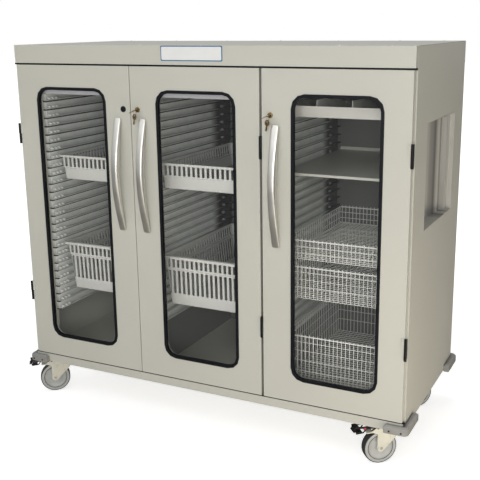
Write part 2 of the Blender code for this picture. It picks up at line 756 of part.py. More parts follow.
def top_rack(metal):
    """The divided rack at the top of column three."""
    origin = (COLUMN_CENTRES[2], BASKET_FRONT, rail_top(-6) + SEAT_GAP)
    inner_half = HANGING_HALF - RACK_SHEET
    shape = stack(
        [
            (TRAY_HALF_WIDTH, 0, TRAY_LENGTH, 0),
            (TRAY_HALF_WIDTH, 0, TRAY_LENGTH, RACK_SHEET),
            (HANGING_HALF, 0.5 * RACK_SHEET, TRAY_LENGTH - 0.5 * RACK_SHEET, RACK_SHEET),
            (HANGING_HALF, 0.5 * RACK_SHEET, TRAY_LENGTH - 0.5 * RACK_SHEET, RACK_BAR_HEIGHT),
            (inner_half, 1.5 * RACK_SHEET, TRAY_LENGTH - 1.5 * RACK_SHEET, RACK_BAR_HEIGHT),
            (inner_half, 1.5 * RACK_SHEET, TRAY_LENGTH - 1.5 * RACK_SHEET, RACK_SHEET),
        ]
    )
    for number in range(1, RACK_COMPARTMENTS):
        middle = -HANGING_HALF + 2 * HANGING_HALF * number / RACK_COMPARTMENTS
        plate = box(
            (middle - RACK_SHEET / 2, RACK_SHEET, RACK_SHEET / 2),
            (middle + RACK_SHEET / 2, TRAY_LENGTH - RACK_SHEET, RACK_PLATE_HEIGHT),
        )
        shape = join(shape, plate)
    place("top_rack", moved(shape, origin), metal, origin)


def shelf(paint):
    origin = (COLUMN_CENTRES[2], BASKET_FRONT, rail_top(0) + SEAT_GAP)
    plate = box((-TRAY_HALF_WIDTH, 0, 0), (TRAY_HALF_WIDTH, TRAY_LENGTH, SHELF_PLATE))
    lip = box((-HANGING_HALF, 0, SHELF_PLATE - SHELF_EDGE), (HANGING_HALF, SHELF_PLATE, SHELF_PLATE))
    upstand = box(
        (-HANGING_HALF, TRAY_LENGTH - SHELF_PLATE, 0), (HANGING_HALF, TRAY_LENGTH, SHELF_UPSTAND)
    )
    place("shelf", moved(join(join(plate, lip), upstand), origin), paint)


def door_edges(number):
    left = DOOR_LEFTS[number - 1]
    return left, left + DOOR_WIDTH


def hinge_axis(number):
    left, right = door_edges(number)
    side = HINGE_SIDES_OF_DOORS[number - 1]
    return (left - HINGE_OFFSET if side < 0 else right + HINGE_OFFSET, -HINGE_AXIS_PROUD)


def window_centre(number):
    left, right = door_edges(number)
    if HINGE_SIDES_OF_DOORS[number - 1] < 0:
        return left + WINDOW_HINGE_MARGIN + WINDOW_WIDTH / 2
    return right - WINDOW_HINGE_MARGIN - WINDOW_WIDTH / 2


def hinge_heights():
    return (DOOR_BOTTOM + HINGE_FROM_DOOR_END, DOOR_TOP - HINGE_FROM_DOOR_END)


def lock_places():
    """Door two's and door three's locks, near each door's left edge."""
    return [
        (door_edges(number)[0] + inset, LOCK_HEIGHT) for number, inset in zip((2, 3), LOCK_FROM_EDGE)
    ]


def plug_place():
    return (door_edges(1)[1] - PLUG_FROM_EDGE, LOCK_HEIGHT)


def door(number, paint):
    left, right = door_edges(number)
    centre = window_centre(number)
    shape = box((left, 0, DOOR_BOTTOM), (right, DOOR_THICKNESS, DOOR_TOP))
    for inset, front, back in (
        (SHEET, SHEET, DOOR_THICKNESS - SHEET),
        (DOOR_BACK_FLANGE, DOOR_THICKNESS / 2, DOOR_THICKNESS + OVERRUN),
    ):
        hollow = box(
            (left + inset, front, DOOR_BOTTOM + inset), (right - inset, back, DOOR_TOP - inset)
        )
        collar = prism(
            window_outline(centre, CUTOUT_INSET - COLLAR_WALL), "y", front - OVERRUN, back + OVERRUN
        )
        shape = cut(shape, cut(hollow, collar))
    cutout = prism(window_outline(centre, CUTOUT_INSET), "y", -OVERRUN, DOOR_THICKNESS + OVERRUN)
    shape = cut(shape, cutout)
    if number == 1:
        place_of_hole, radius = plug_place(), PLUG_SHANK + SEAT_GAP
    else:
        place_of_hole, radius = lock_places()[number - 2], LOCK_RADIUS + RUNNING_GAP
    hole = cylinder(place_of_hole, radius, "y", -OVERRUN, DOOR_THICKNESS - SHEET / 2, LOCK_SIDES)
    shape = cut(shape, hole)
    for height in hinge_heights():
        shape = join(shape, door_knuckle(number, height))
    for height in hinge_heights():
        x, y = hinge_axis(number)
        bore = cylinder(
            (x, y),
            HINGE_PIN_RADIUS + RUNNING_GAP,
            "z",
            height - HINGE_LENGTH,
            height + HINGE_LENGTH,
            HINGE_SIDES,
        )
        shape = cut(shape, bore)
    x, y = hinge_axis(number)
    place(f"door_{number}", shape, paint, (x, y, DOOR_BOTTOM))


def door_knuckle(number, height):
    """The door's half of a lift-off hinge: the upper barrel and its strap on the door's face."""
    x, y = hinge_axis(number)
    side = HINGE_SIDES_OF_DOORS[number - 1]
    low = height + RUNNING_GAP / 2
    high = height + HINGE_LENGTH / 2
    barrel = cylinder((x, y), HINGE_BARREL_RADIUS, "z", low, high, HINGE_SIDES)
    ends = sorted((x, x - side * (HINGE_OFFSET + HINGE_STRAP_WIDTH)))
    strap = box((ends[0], -HINGE_AXIS_PROUD - HINGE_STRAP / 2, low), (ends[1], SHEET / 2, high))
    return join(barrel, strap)


def hinge(number, label, height, plastic):
    """The frame's half of a hinge: leaf beside the door's edge, foot behind the door, lower barrel and pin."""
    x, y = hinge_axis(number)
    side = HINGE_SIDES_OF_DOORS[number - 1]
    low = height - HINGE_LENGTH / 2
    high = height + HINGE_LENGTH / 2
    split = height - RUNNING_GAP / 2
    door_side = x - side * (HINGE_OFFSET - SEAT_GAP)
    leaf_ends = sorted((door_side, door_side + side * HINGE_LEAF))
    foot_front = DOOR_THICKNESS + SEAT_GAP
    foot_back = CARCASS_FRONT - SEAT_GAP
    leaf = box((leaf_ends[0], y, low), (leaf_ends[1], foot_back, split))
    foot_ends = sorted((leaf_ends[0 if side > 0 else 1] + side * HINGE_LEAF / 2, door_side - side * HINGE_FOOT))
    foot = box((foot_ends[0], foot_front, low), (foot_ends[1], foot_back, split))
    barrel = cylinder((x, y), HINGE_BARREL_RADIUS, "z", low, split, HINGE_SIDES)
    pin = cylinder((x, y), HINGE_PIN_RADIUS, "z", low + SHEET, high, HINGE_SIDES)
    shape = join(join(join(barrel, pin), leaf), foot)
    place(f"hinge_{number}_{label}", shape, plastic)


def gasket(number, rubber):
    """The window's rubber profile: lips over both door faces and a groove that holds the pane."""
    centre = window_centre(number)
    back_lip = DOOR_THICKNESS + GASKET_BACK_PROUD
    profile = (
        (0, -SEAT_GAP),
        (GASKET_PROUD / 2, -GASKET_PROUD),
        (GASKET_LIP, -GASKET_PROUD),
        (GASKET_LIP, PANE_FRONT - SEAT_GAP),
        (GROOVE_INSET, PANE_FRONT - SEAT_GAP),
        (GROOVE_INSET, PANE_FRONT + PANE_THICKNESS + SEAT_GAP),
        (GASKET_LIP, PANE_FRONT + PANE_THICKNESS + SEAT_GAP),
        (GASKET_LIP, back_lip),
        (0, back_lip),
        (0, DOOR_THICKNESS + SEAT_GAP),
        (CUTOUT_INSET + SEAT_GAP, DOOR_THICKNESS + SEAT_GAP),
        (CUTOUT_INSET + SEAT_GAP, -SEAT_GAP),
    )
    shape = bmesh.new()
    rings = [
        [shape.verts.new((x, depth, z)) for x, z in window_outline(centre, inset)] for inset, depth in profile
    ]
    for ring, following in zip(rings, rings[1:] + rings[:1]):
        for index, vertex in enumerate(ring):
            ahead = (index + 1) % len(ring)
            shape.faces.new((vertex, ring[ahead], following[ahead], following[index]))
    x, y = hinge_axis(number)
    place(f"gasket_{number}", facing_out(shape), rubber, (x, y, DOOR_BOTTOM))


def pane(number, glass):
    outline = window_outline(window_centre(number), GROOVE_INSET + SEAT_GAP)
    shape = prism(outline, "y", PANE_FRONT, PANE_FRONT + PANE_THICKNESS)
    x, y = hinge_axis(number)
    place(f"window_{number}", shape, glass, (x, y, DOOR_BOTTOM))


def arc(end, bulge, low, high, steps):
    """Points of a bow from the low end to the high end, reaching forward from end to bulge."""
    middle = (low + high) / 2
    half = (high - low) / 2
    return [
        (-(end + (bulge - end) * math.cos(math.pi / 2 * t)), middle + half * t)
        for t in (2 * step / steps - 1 for step in range(steps + 1))
    ]


def handle(number, metal):
    left, right = door_edges(number)
    x = right - HANDLE_FROM_EDGE if HINGE_SIDES_OF_DOORS[number - 1] < 0 else left + HANDLE_FROM_EDGE
    outer = arc(HANDLE_END_REACH, HANDLE_REACH, HANDLE_LOW, HANDLE_HIGH, HANDLE_ARC_STEPS)
    inner = arc(
        SEAT_GAP,
        HANDLE_REACH - HANDLE_THICKNESS,
        HANDLE_LOW + HANDLE_FOOT,
        HANDLE_HIGH - HANDLE_FOOT,
        HANDLE_ARC_STEPS,
    )
    outline = [(-SEAT_GAP, HANDLE_LOW)] + outer + [(-SEAT_GAP, HANDLE_HIGH)] + inner[::-1]
    shape = prism(outline, "x", x - HANDLE_WIDTH / 2, x + HANDLE_WIDTH / 2)
    axis_x, axis_y = hinge_axis(number)
    place(f"handle_{number}", shape, metal, (axis_x, axis_y, DOOR_BOTTOM))


def lock(number, metal):
    """A cam lock's turning plug, with its key in the face and its cam behind the door, hanging unlocked."""
    x, z = lock_places()[number - 2]
    back = LOCK_CAM_FRONT + LOCK_CAM_THICKNESS
    plug = cylinder((x, z), LOCK_RADIUS, "y", -LOCK_FACE, back, LOCK_SIDES)
    face = cylinder((x, z), LOCK_FACE_RADIUS, "y", -LOCK_FACE, -SEAT_GAP, LOCK_SIDES)
    key = box(
        (x - KEY_THICKNESS / 2, -LOCK_FACE - KEY_LENGTH, z - KEY_WIDTH / 2),
        (x + KEY_THICKNESS / 2, -LOCK_FACE / 2, z + KEY_WIDTH / 2),
    )
    cam = box(
        (x - LOCK_CAM_WIDTH / 2, LOCK_CAM_FRONT, z - LOCK_CAM_REACH),
        (x + LOCK_CAM_WIDTH / 2, back, z + LOCK_CAM_WIDTH / 2),
    )
    shape = join(join(join(plug, face), key), cam)
    place(f"lock_{number}", shape, metal, (x, 0, z))


def hole_plug(plastic):
    x, z = plug_place()
    shank = cylinder((x, z), PLUG_SHANK, "y", -PLUG_HEAD / 2, DOOR_THICKNESS / 2, LOCK_SIDES)
    head = cylinder((x, z), PLUG_RADIUS, "y", -PLUG_HEAD, -SEAT_GAP, LOCK_SIDES)
    axis_x, axis_y = hinge_axis(1)
    place("hole_plug", join(shank, head), plastic, (axis_x, axis_y, DOOR_BOTTOM))


def bumper_shape():
    """A wrap-round bumper for the front right corner, with a chamfered top and a rounded outer corner."""
    inner_x = HALF_WIDTH + SEAT_GAP
    outer_x = inner_x + BUMPER_THICKNESS
    outer_y = -SEAT_GAP - BUMPER_THICKNESS
    outline = [(outer_x, BUMPER_SIDE_LEG), (inner_x, BUMPER_SIDE_LEG), (inner_x, -SEAT_GAP)]
    outline += [(outer_x - BUMPER_FRONT_LEG, -SEAT_GAP), (outer_x - BUMPER_FRONT_LEG, outer_y)]
    for step in range(BUMPER_CORNER_STEPS + 1):
        angle = -math.pi / 2 + step / BUMPER_CORNER_STEPS * math.pi / 2
        outline.append(
            (
                outer_x - BUMPER_RADIUS + BUMPER_RADIUS * math.cos(angle),
                outer_y + BUMPER_RADIUS + BUMPER_RADIUS * math.sin(angle),
            )
        )
    shape = prism(outline, "z", BUMPER_LOW, BUMPER_HIGH - BUMPER_CHAMFER)
    top = max(shape.faces, key=lambda face: face.calc_center_median().z)
    bmesh.ops.inset_region(shape, faces=[top], thickness=BUMPER_CHAMFER, use_even_offset=True)
    bmesh.ops.translate(shape, verts=top.verts, vec=(0, 0, BUMPER_CHAMFER))
    return shape


def bumpers(plastic):
    for name, mirror, back in (
        ("bumper_front_left", True, False),
        ("bumper_front_right", False, False),
        ("bumper_back_left", True, True),
        ("bumper_back_right", False, True),
    ):
        shape = bumper_shape()
        if back:
            bmesh.ops.scale(shape, vec=(1, -1, 1), verts=shape.verts)
            bmesh.ops.reverse_faces(shape, faces=shape.faces)
            moved(shape, (0, CABINET_DEPTH, 0))
        if mirror:
            shape = mirrored(shape)
        place(name, shape, plastic)


def fork_outline():
    """Side view of the fork: a hood over the wheel and legs that narrow down to the axle."""
    top = fork_top()
    points = [
        (FORK_TOP_HALF, top),
        (-FORK_TOP_HALF, top),
        (FORK_HOOD_END, FORK_HOOD_LOW + FORK_SHEET),
        (FORK_HOOD_END, FORK_HOOD_LOW),
        (-WHEEL_TRAIL - FORK_FOOT_RADIUS, FORK_SHOULDER),
    ]
    for step in range(HANDLE_ARC_STEPS // 2 + 1):
        angle = math.pi + step / (HANDLE_ARC_STEPS // 2) * math.pi * 3 / 4
        points.append(
            (-WHEEL_TRAIL + FORK_FOOT_RADIUS * math.cos(angle), WHEEL_RADIUS + FORK_FOOT_RADIUS * math.sin(angle))
        )
    points.append((FORK_TOP_HALF, FORK_SHOULDER + FORK_FOOT_RADIUS))
    return points


def fork_shape():
    top = fork_top()
    path = ((-FORK_HALF, 0), (-FORK_HALF, top), (FORK_HALF, top), (FORK_HALF, 0))
    channel = prism(sheet_outline(path, -FORK_SHEET), "x", FORK_HOOD_END - OVERRUN, FORK_TOP_HALF + OVERRUN)
    profile = prism(fork_outline(), "y", -FORK_HALF - OVERRUN, FORK_HALF + OVERRUN)
    shape = common(channel, profile)
    hole = cylinder(
        (0, 0), KING_PIN_RADIUS + RUNNING_GAP, "z", top - FORK_SHEET - OVERRUN, top + OVERRUN, KING_HOLE_SIDES
    )
    shape = cut(shape, hole)
    pivot = (-PEDAL_PIVOT_BACK, PEDAL_PIVOT_HEIGHT)
    shape = cut(
        shape,
        cylinder(pivot, PEDAL_PIN_RADIUS + RUNNING_GAP, "y", -FORK_HALF - OVERRUN, FORK_HALF + OVERRUN, PIN_SIDES),
    )
    axle_end = FORK_HALF + AXLE_HEAD
    axle_place = (-WHEEL_TRAIL, WHEEL_RADIUS)
    axle = cylinder(axle_place, AXLE_RADIUS, "y", -axle_end + AXLE_HEAD / 2, axle_end - AXLE_HEAD / 2, PIN_SIDES)
    for side in (-1, 1):
        ends = sorted((side * (FORK_HALF - FORK_SHEET / 2), side * axle_end))
        axle = join(axle, cylinder(axle_place, AXLE_HEAD_RADIUS, "y", ends[0], ends[1], PIN_SIDES))
    return join(shape, axle)


def wheel_shape():
    """A caster wheel turned about y, centred on its axle."""
    half_profile = (
        (AXLE_RADIUS + RUNNING_GAP, WHEEL_HUB_HALF),
        (WHEEL_HUB_RADIUS, WHEEL_HUB_HALF),
        (WHEEL_HUB_RADIUS, WHEEL_WEB_HALF),
        (WHEEL_RIM_INNER, WHEEL_WEB_HALF),
        (WHEEL_RIM_OUTER, WHEEL_TREAD_HALF),
        (WHEEL_RADIUS - WHEEL_SHOULDER, WHEEL_TREAD_HALF),
        (WHEEL_RADIUS, WHEEL_TREAD_HALF - WHEEL_SHOULDER),
    )
    profile = list(half_profile) + [(radius, -y) for radius, y in reversed(half_profile)]
    shape = bmesh.new()
    points = [shape.verts.new((radius, y, 0)) for radius, y in profile]
    edges = [shape.edges.new((a, b)) for a, b in zip(points, points[1:] + points[:1])]
    bmesh.ops.spin(
        shape,
        geom=points + edges,
        cent=(0, 0, 0),
        axis=(0, 1, 0),
        angle=2 * math.pi,
        steps=WHEEL_STEPS,
        use_merge=True,
    )
    return facing_out(shape)


def pedal_shape():
    """A brake pedal: a cross pin in the fork, two arms round an opening and a tread that drops at the tip."""
    pivot_x, pivot_z = -PEDAL_PIVOT_BACK, PEDAL_PIVOT_HEIGHT
    half = PEDAL_THICKNESS / 2
    outline = [
        (pivot_x + PEDAL_THICKNESS, pivot_z - half),
        (pivot_x + PEDAL_THICKNESS, pivot_z + half),
        (-PEDAL_REACH + PEDAL_TREAD_LENGTH, PEDAL_TIP_HEIGHT + half),
        (-PEDAL_REACH, PEDAL_TIP_HEIGHT - PEDAL_TREAD_DROP),
        (-PEDAL_REACH + PEDAL_THICKNESS, PEDAL_TIP_HEIGHT - PEDAL_TREAD_DROP),
        (-PEDAL_REACH + PEDAL_TREAD_LENGTH, PEDAL_TIP_HEIGHT - half),
    ]
    shape = prism(outline, "y", -PEDAL_HALF, PEDAL_HALF)
    opening = box(
        (pivot_x - PEDAL_WINDOW_END, -PEDAL_WINDOW_HALF, 0),
        (pivot_x - PEDAL_WINDOW_START, PEDAL_WINDOW_HALF, PEDAL_TIP_HEIGHT + OVERRUN),
    )
    shape = cut(shape, opening)
    pin = cylinder((pivot_x, pivot_z), PEDAL_PIN_RADIUS, "y", -FORK_HALF, FORK_HALF, PIN_SIDES)
    return join(shape, pin)


def casters(steel, tyre, plastic):
    names = ("front_left", "front_right", "back_left", "back_right")
    for name, (x, y) in zip(names, caster_places()):
        swivel = bpy.data.objects.new(f"swivel_{name}", None)
        bpy.context.scene.collection.objects.link(swivel)
        swivel.location = Vector((x, y, 0)) + CABINET_SHIFT
        swivel.rotation_euler.z = CASTER_HEADING
        pieces = [
            (f"caster_fork_{name}", fork_shape(), steel, (0, 0, 0)),
            (f"caster_wheel_{name}", wheel_shape(), tyre, (-WHEEL_TRAIL, 0, WHEEL_RADIUS)),
        ]
        if name.startswith("front"):
            pivot = Vector((-PEDAL_PIVOT_BACK, 0, PEDAL_PIVOT_HEIGHT))
            pieces.append((f"brake_pedal_{name}", moved(pedal_shape(), -pivot), plastic, pivot))
        for piece, shape, material, location in pieces:
            item = mesh_object(piece, shape, material)
            item.data.shade_smooth()
            item.data.set_sharp_from_angle(angle=math.radians(35))
            item.parent = swivel
            item.location = location


def main():
    clear_scene()
    paint = finish("beige_paint", (0.58, 0.58, 0.52), 0.45)
    inner_paint = finish("inner_paint", (0.50, 0.50, 0.46), 0.5)
    guide_plastic = finish("grey_guide_plastic", (0.42, 0.43, 0.41), 0.55)
    tray_plastic = finish("pale_tray_plastic", (0.66, 0.66, 0.62), 0.5)
    wire = finish("coated_wire", (0.70, 0.69, 0.63), 0.4)
    rubber = finish("black_rubber", (0.015, 0.017, 0.020), 0.6)
    glass = finish("clear_pane", (0.75, 0.78, 0.78), 0.05)
    nickel = finish("satin_nickel", (0.60, 0.59, 0.56), 0.3, 1.0)
    brass = finish("key_brass", (0.55, 0.45, 0.22), 0.35, 1.0)
    black = finish("black_plastic", (0.02, 0.02, 0.02), 0.5)
    bumper_grey = finish("grey_bumper_plastic", (0.30, 0.31, 0.30), 0.5)
    fork_paint = finish("cream_fork_paint", (0.60, 0.58, 0.50), 0.4)
    tyre = finish("grey_wheel", (0.35, 0.36, 0.36), 0.55)
    base_frame(paint)
    side_panel(-1, paint)
    side_panel(1, paint)
    push_handle(-1, paint)
    push_handle(1, paint)
    back_panel(inner_paint)
    top_cap(paint)
    dividers(inner_paint)
    header_panel(inner_paint)
    tray_guides(guide_plastic)
    shelf(paint)
    trays(tray_plastic)
    baskets(wire)
    top_rack(tray_plastic)
    bumpers(bumper_grey)
    for number in (1, 2, 3):
        door(number, paint)
        gasket(number, rubber)
        pane(number, glass)
        handle(number, nickel)
        for label, height in zip(("lower", "upper"), hinge_heights()):
            hinge(number, label, height, black)
    for number in (2, 3):
        lock(number, brass)
    hole_plug(black)
    casters(fork_paint, tyre, black)


main()
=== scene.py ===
"""Looks of a mobile storage cabinet: paint, plastics, metals and the fine pieces round its solids."""

import itertools
import json
import math

import bmesh
import bpy
from mathutils import Matrix, Vector


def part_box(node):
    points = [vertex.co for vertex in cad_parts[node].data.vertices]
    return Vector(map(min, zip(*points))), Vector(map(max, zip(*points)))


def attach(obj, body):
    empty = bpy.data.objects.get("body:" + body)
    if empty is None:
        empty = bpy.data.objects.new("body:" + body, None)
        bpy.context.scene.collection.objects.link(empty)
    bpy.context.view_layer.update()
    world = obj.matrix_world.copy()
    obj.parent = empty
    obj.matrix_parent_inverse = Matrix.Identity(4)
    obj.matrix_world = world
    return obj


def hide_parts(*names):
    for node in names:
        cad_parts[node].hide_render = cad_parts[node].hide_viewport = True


bl_info = {
    "name": "Mobile Storage Cabinet Looks",
    "version": (1, 0, 0),
    "blender": (4, 5, 0),
    "location": "View3D > Sidebar > Cabinet",
    "description": "Finishes and fine pieces of a glazed storage cabinet on casters",
    "category": "Object",
}

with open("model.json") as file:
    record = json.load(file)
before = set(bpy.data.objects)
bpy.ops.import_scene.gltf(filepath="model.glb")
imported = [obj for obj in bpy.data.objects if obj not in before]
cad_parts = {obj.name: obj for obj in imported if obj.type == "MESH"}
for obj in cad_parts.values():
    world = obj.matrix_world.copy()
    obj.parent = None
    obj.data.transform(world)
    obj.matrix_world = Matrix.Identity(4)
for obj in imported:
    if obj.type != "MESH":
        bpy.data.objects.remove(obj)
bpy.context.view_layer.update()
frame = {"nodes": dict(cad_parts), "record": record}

COLUMNS = (1, 2, 3)
SIDES = ("left", "right")
ENDS = ("lower", "upper")
CORNERS = ("front_left", "front_right", "back_left", "back_right")
TRAY_SIZES = ("shallow", "deep")
BASKET_SIZES = ("shallow", "medium", "deep")

WELD = 0.00002
# Least cosine between two directions that count as the same
SAME_WAY = 0.9
SHARP_ANGLE = math.radians(38)
FLAT_ANGLE = math.radians(0.5)
EDGE_ANGLE = math.radians(40)

# Scale and height of each grain
FINE_GRAIN = (900.0, 0.00008)
POWDER_GRAIN = (520.0, 0.00012)
SHELF_GRAIN = (520.0, 0.0001)
GUIDE_GRAIN = (700.0, 0.0001)
TRAY_GRAIN = (800.0, 0.00006)
BUMPER_GRAIN = (600.0, 0.00012)
SATIN_GRAIN = (300.0, 0.00003)
PANE_WAVES = (3.0, 0.00002)

# Shares of a screw head's radius, from its middle outwards, and how far each stands out
SCREW_SHARES = ((0, 0.45), (0.25, 0.45), (0.3, 0.6), (0.6, 0.5), (0.92, 0.25), (1, 0), (0, -0.1))

# Places across a recess, from front to back, and how much of its paint's tone each keeps: painted shade
# deep in it and painted light on its steps
RECESS_SHADE_SHARES = (
    (0, 0.90), (0.545, 0.82), (0.575, 0.58), (0.64, 0.46), (0.69, 0.24), (0.72, 0.62),
    (0.76, 0.90), (0.79, 0.95), (0.81, 0.50), (0.85, 0.50), (0.865, 0.82), (1, 0.82),
)


def colour_property(name, description, default):
    return bpy.props.FloatVectorProperty(
        name=name, description=description, subtype="COLOR", size=3, min=0, max=1, default=default
    )


def length_property(name, description, default):
    return bpy.props.FloatProperty(
        name=name, description=description, subtype="DISTANCE", unit="LENGTH", default=default
    )


def angle_property(name, description, degrees):
    return bpy.props.FloatProperty(
        name=name, description=description, subtype="ANGLE", default=math.radians(degrees)
    )


class CabinetColours(bpy.types.PropertyGroup):
    """Colours of the cabinet's finishes, of the floor and of the lamps."""

    paint: colour_property("Paint", "Powder coat of the body and doors", (0.565, 0.560, 0.500))
    recess_paint: colour_property("Recess Paint", "Paint of the push recesses", (0.58, 0.565, 0.52))
    # Painted shade: the shelf's paint, darker on its top
    shelf_top_painted_shade: colour_property("Shelf Top Painted Shade", "Paint on top of the shelf", (0.42, 0.425, 0.39))
    rack_paint: colour_property("Rack Paint", "Paint of the divided rack", (0.72, 0.71, 0.65))
    # Painted shade: the back panel's paint, dark on its inside
    back_painted_shade: colour_property("Back Painted Shade", "Back panel's paint, inside", (0.13, 0.13, 0.125))
    header_paint: colour_property("Header Paint", "Paint of the header panel", (0.50, 0.50, 0.53))
    # Painted shade: the dividers' paint, darkened where the columns' walls lie in shade
    divider_painted_shade: colour_property("Divider Painted Shade", "Paint of the dividers", (0.22, 0.22, 0.21))
    guide: colour_property("Guides", "Moulded plastic of the ribbed guides", (0.86, 0.88, 0.84))
    # Painted shade: near black under each rail of the guides and at their back
    groove_painted_shade: colour_property("Grooves", "The guides' plastic under each rail", (0.05, 0.05, 0.048))
    stop: colour_property("Stops", "Plastic of the guides' stops", (0.78, 0.79, 0.77))
    tray: colour_property("Trays", "Moulded plastic of the trays", (0.70, 0.705, 0.67))
    # Painted shade: the trays and stops fade to this toward their back
    tray_painted_shade: colour_property("Trays' Painted Shade", "The trays' plastic deep inside", (0.22, 0.222, 0.21))
    wire: colour_property("Wire", "Bright wire of the baskets", (0.90, 0.90, 0.86))
    rubber: colour_property("Rubber", "Profile round the windows", (0.005, 0.006, 0.009))
    nickel: colour_property("Nickel", "Satin metal of the handles", (0.74, 0.73, 0.69))
    brass: colour_property("Brass", "Locks and keys", (0.34, 0.25, 0.125))
    black: colour_property("Black", "Hinges, plug and pedals", (0.006, 0.006, 0.007))
    bumper: colour_property("Bumpers", "Plastic of the corner bumpers", (0.29, 0.29, 0.275))
    fork: colour_property("Forks", "Paint of the caster forks", (0.70, 0.68, 0.58))
    wheel: colour_property("Wheels", "Plastic of the wheel centres", (0.44, 0.45, 0.44))
    tread: colour_property("Treads", "Rubber of the wheel treads", (0.035, 0.035, 0.04))
    red: colour_property("Red Mark", "Mark on the brake pedals", (0.45, 0.06, 0.07))
    pane: colour_property("Pane", "Clear pane of a window", (0.50, 0.53, 0.53))
    plate_border: colour_property("Plate Border", "Border of the bare plate", (0.05, 0.16, 0.33))
    plate_field: colour_property("Plate Field", "Field of the bare plate", (0.80, 0.81, 0.80))
    floor: colour_property("Floor", "The plain floor", (0.90, 0.90, 0.90))
    mirrored_floor: colour_property("Mirrored Floor", "Floor as metal mirrors it", (0.28, 0.265, 0.235))
    bounced_floor: colour_property("Bounced Floor", "Floor in the light it sends up", (0.90, 0.86, 0.78))
    light: colour_property("Light", "Light of most lamps", (1, 1, 1))
    side_light: colour_property("Side Light", "Light of the lamp at the side", (1, 0.9, 0.76))


class CabinetView(bpy.types.PropertyGroup):
    """The camera's place, turn and lens."""

    camera_place: bpy.props.FloatVectorProperty(
        name="Camera Place",
        description="Where the camera stands",
        subtype="TRANSLATION",
        default=(1.5167, -2.9146, 1.5463),
    )
    yaw: angle_property("Yaw", "Turn to the left", 26.167)
    pitch: angle_property("Pitch", "Tilt down", 13.858)
    roll: angle_property("Roll", "Roll of the camera", -0.615)
    lens: bpy.props.FloatProperty(name="Lens", description="Focal length in millimetres", default=62.36)
    shift: bpy.props.FloatVectorProperty(
        name="Shift", description="Lens shift", size=2, default=(-0.0266, -0.0235)
    )


class CabinetSizes(bpy.types.PropertyGroup):
    """Sizes of the fine pieces."""

    edge: length_property("Edge", "Rounding of folded sheet edges", 0.0012)
    tray_wall: length_property("Tray Wall", "Thickness of a moulded tray", 0.0025)
    tray_corner: length_property("Tray Corner", "Rounding of a tray's upright corners", 0.012)
    slot_width: length_property("Slot Width", "Width of a tray's slots", 0.0118)
    slot_pitch: length_property("Slot Pitch", "Distance from slot to slot", 0.0205)
    wire: length_property("Wire", "Radius of a basket's thin wires", 0.0013)
    rim_wire: length_property("Rim Wire", "Radius of a basket's rim wire", 0.0026)
    wire_pitch: length_property("Wire Pitch", "Distance between upright wires", 0.0157)
    screw: length_property("Screw", "Radius of a screw head", 0.0035)
    rail_pitch: length_property("Rail Pitch", "Distance from rail to rail of a guide", 0.1 / 3)
    # Painted shade on the trays starts this far behind their front
    tray_front: length_property("Tray Front", "Depth of a tray that keeps its full colour", 0.02)
    shade_start: length_property("Shade Start", "From the guides' back to where shade starts", 0.20)
    shade_end: length_property("Shade End", "From the guides' back to where shade is full", 0.11)
    # Painted shade: height of the dark band under each rail
    groove_shade_share: bpy.props.FloatProperty(
        name="Groove Share", description="Height of a groove, as a share of the pitch", default=0.18
    )


def colours():
    return bpy.context.scene.cabinet_colours


def sizes():
    return bpy.context.scene.cabinet_sizes


def named(stem, *choices):
    """Names of like nodes: the stem and one word or number of each choice."""
    return ["_".join(map(str, (stem, *words))) for words in itertools.product(*choices)]


def joint(name):
    """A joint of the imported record, by its name."""
    return next(item for item in frame["record"]["behaviour"]["joints"] if item["name"] == name)


def door_face():
    """Place in y of the doors' front face."""
    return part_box("top_cap")[0].y


def part_way(start, end, share):
    """A value a share of the way from start to end."""
    return start + (end - start) * share


def add_node(tree, kind, **settings):
    node = tree.nodes.new(kind)
    for key, value in settings.items():
        setattr(node, key, value)
    return node


def set_sockets(node, **values):
    """Sets input sockets; an underscore in a name stands for a blank."""
    for label, value in values.items():
        node.inputs[label.replace("_", " ")].default_value = value
    return node


def node_group(name, inputs, outputs):
    """An empty shader node group with its input and output nodes."""
    tree = bpy.data.node_groups.new(name, "ShaderNodeTree")
    for label, kind, default in inputs:
        socket = tree.interface.new_socket(name=label, in_out="INPUT", socket_type=kind)
        socket.default_value = default
    for label, kind in outputs:
        tree.interface.new_socket(name=label, in_out="OUTPUT", socket_type=kind)
    return tree, tree.nodes.new("NodeGroupInput"), tree.nodes.new("NodeGroupOutput")


